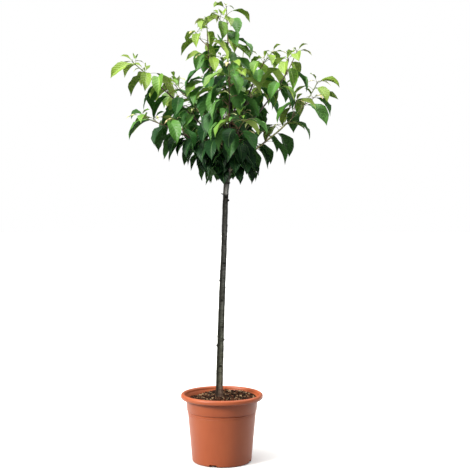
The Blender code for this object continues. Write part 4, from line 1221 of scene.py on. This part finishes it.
settle(newPiece("pot_body", makePot(), [plastic()], 32), "pot_plastic", "pot")
settle(newPiece("compost", makeCompost(), [barkCompost()], 60), "compost", "soil")
chipShape = chipTemplate()
chipPlaces, chipSlots = placeChips(chipShape)
chipKinds = [shred("bark_shred_brown", "#4d3020", "#24150d"), shred("bark_shred_dark", "#21140d", "#0f0805"),
             shred("wood_shred_pale", "#ac9270", "#775d44"), shred("bark_shred_red", "#74442a", "#432617")]
chips = joinCopies("bark_chips", chipShape, chipPlaces, chipSlots)
settle(newPiece("bark_chips", chips, chipKinds, 30), "compost")
print("pot and compost done")

boughWood = shootBark("ripe_shoot_bark", "#2b2320", "#54443b", 0.55)
# painted light: a pale copy of the shoot bark for the bough in full sun
sunPaintedWood = shootBark("painted_sunlight_shoot_bark", "#c0bf74", "#e2dfa6", 0.5)
youngWood = shootBark("half_ripe_shoot_bark", "#5c4a33", "#86714c", 0.5)
greenWood = shootBark("green_shoot_skin", "#71853f", "#93a455", 0.45)
settle(newPiece("trunk_bark", makeTrunk(), [trunkBark()], 60), "bark", "trunk", "bough_leader")
settle(newPiece("boughs_bark", makeBoughs(), [boughWood, sunPaintedWood], 60), "bark",
       *["bough_" + name for name in boughs])
settle(newPiece("twigs", makeTwigs(), [boughWood, youngWood, greenWood, sunPaintedWood], 60), "bark")
print("limbs done")

surfaces = leafMaterials()
for name, members in leafGroups.items():
    items = [item for mass in masses if mass["name"] in members for item in mass["leaves"]]
    mesh = joinCopies(name, bladeShape, placeBlades(items), [slotsOf(item) for item in items])
    settle(newPiece(name, mesh, surfaces, 75), "leaf", *["foliage_" + member for member in members])
leaves = [item for mass in masses for item in mass["leaves"]]
stalkShape = stalkTemplate()
stalkSkins = [shootBark("leaf_stalk_red", "#6b3f35", "#8a5a48", 0.5), greenWood]
stalkSlots = [[int(item["tone"] >= tones["young"])] * len(stalkShape["faces"]) for item in leaves]
stalks = joinCopies("leaf_stalks", stalkShape, placeStalks(stalkShape, leaves), stalkSlots)
settle(newPiece("leaf_stalks", stalks, stalkSkins, 60), "leaf")
budShape = budTemplate()
spots = [(item["root"], (item["along"] + bud["lean"] * flatWay(item["heading"])).normalized())
         for item in leaves]
settle(newPiece("buds", joinCopies("buds", budShape, placeBuds(budShape, spots)), [boughWood], 60), "bark")
print("leaves done:", len(leaves))


# stage, light and camera

stage = {"radius": 40.0, "segments": 96, "floor": "#fcfcfb", "sky": (0.97, 0.985, 1.0, 1.0),
         "above": 0.47, "below": 0.06, "low": -0.15, "high": 0.60}  # the sky's strengths, and between what
suns = {  # heading and height in degrees, spread in degrees, strength, colour
    "overhead": (205.0, 80.0, 46.0, 2.7, "#fffefa"),
    "key": (214.0, 31.0, 20.0, 3.15, "#fffcf6"),
    "back": (25.0, 60.0, 50.0, 1.1, "#ffffff"),
}


def makeStage():
    bm = bmesh.new()
    bmesh.ops.create_circle(bm, cap_ends=True, segments=stage["segments"], radius=stage["radius"])
    made, tree, shader = newMaterial("matt_white_board", stage["floor"], 0.9)
    floor = newPiece("floor", meshOf("floor", bm), [made], 30)
    floor.visible_diffuse = False  # the white board throws no light back up at the plant, as if flagged off
    world = bpy.data.worlds.new("studio")
    bpy.context.scene.world = world
    world.use_nodes = True
    tree = world.node_tree
    tree.nodes.clear()
    seen = addNode(tree, "ShaderNodeBackground", {"Color": (1.0, 1.0, 1.0, 1.0), "Strength": 1.0})
    way = addNode(tree, "ShaderNodeTexCoord")
    parts = addNode(tree, "ShaderNodeSeparateXYZ", links={"Vector": way.outputs["Generated"]})
    dome = addNode(tree, "ShaderNodeMapRange", {  # soft light from above, less from below the horizon
        "From Min": stage["low"], "From Max": stage["high"], "To Min": stage["below"],
        "To Max": stage["above"]}, {"Value": parts.outputs["Z"]}, interpolation_type="SMOOTHSTEP")
    light = addNode(tree, "ShaderNodeBackground", {"Color": stage["sky"]},
                    {"Strength": dome.outputs["Result"]})
    path = addNode(tree, "ShaderNodeLightPath")
    mix = addNode(tree, "ShaderNodeMixShader", None, {0: path.outputs["Is Camera Ray"], 1: light.outputs[0],
                                                      2: seen.outputs[0]})
    addNode(tree, "ShaderNodeOutputWorld", None, {"Surface": mix.outputs[0]})
    for name, (heading, height, spread, strength, colour) in suns.items():
        lamp = bpy.data.lights.new(name, "SUN")
        lamp.energy = strength
        lamp.angle = math.radians(spread)
        lamp.color = toLinear(colour)[:3]
        sun = bpy.data.objects.new(name, lamp)
        towards = tilted(flatWay(math.radians(heading)), math.radians(height))
        sun.rotation_euler = towards.to_track_quat("Z", "Y").to_euler()
        bpy.context.scene.collection.objects.link(sun)


def makeCamera():
    lens = bpy.data.cameras.new("camera")
    lens.sensor_width = view["sensor"]
    lens.lens = view["focalPixels"] * view["sensor"] / view["framePixels"]
    lens.shift_x = (0.5 * view["framePixels"] - view["centre"][0]) / view["framePixels"]
    lens.shift_y = (view["centre"][1] - 0.5 * view["framePixels"]) / view["framePixels"]
    camera = bpy.data.objects.new("camera", lens)
    camera.location = (0.0, -view["distance"], view["height"])
    camera.rotation_euler = (math.radians(90.0), 0.0, 0.0)
    bpy.context.scene.collection.objects.link(camera)
    bpy.context.scene.camera = camera


makeStage()
makeCamera()
bpy.context.scene.view_settings.view_transform = "Standard"
bpy.context.view_layer.update()
print("stage set")
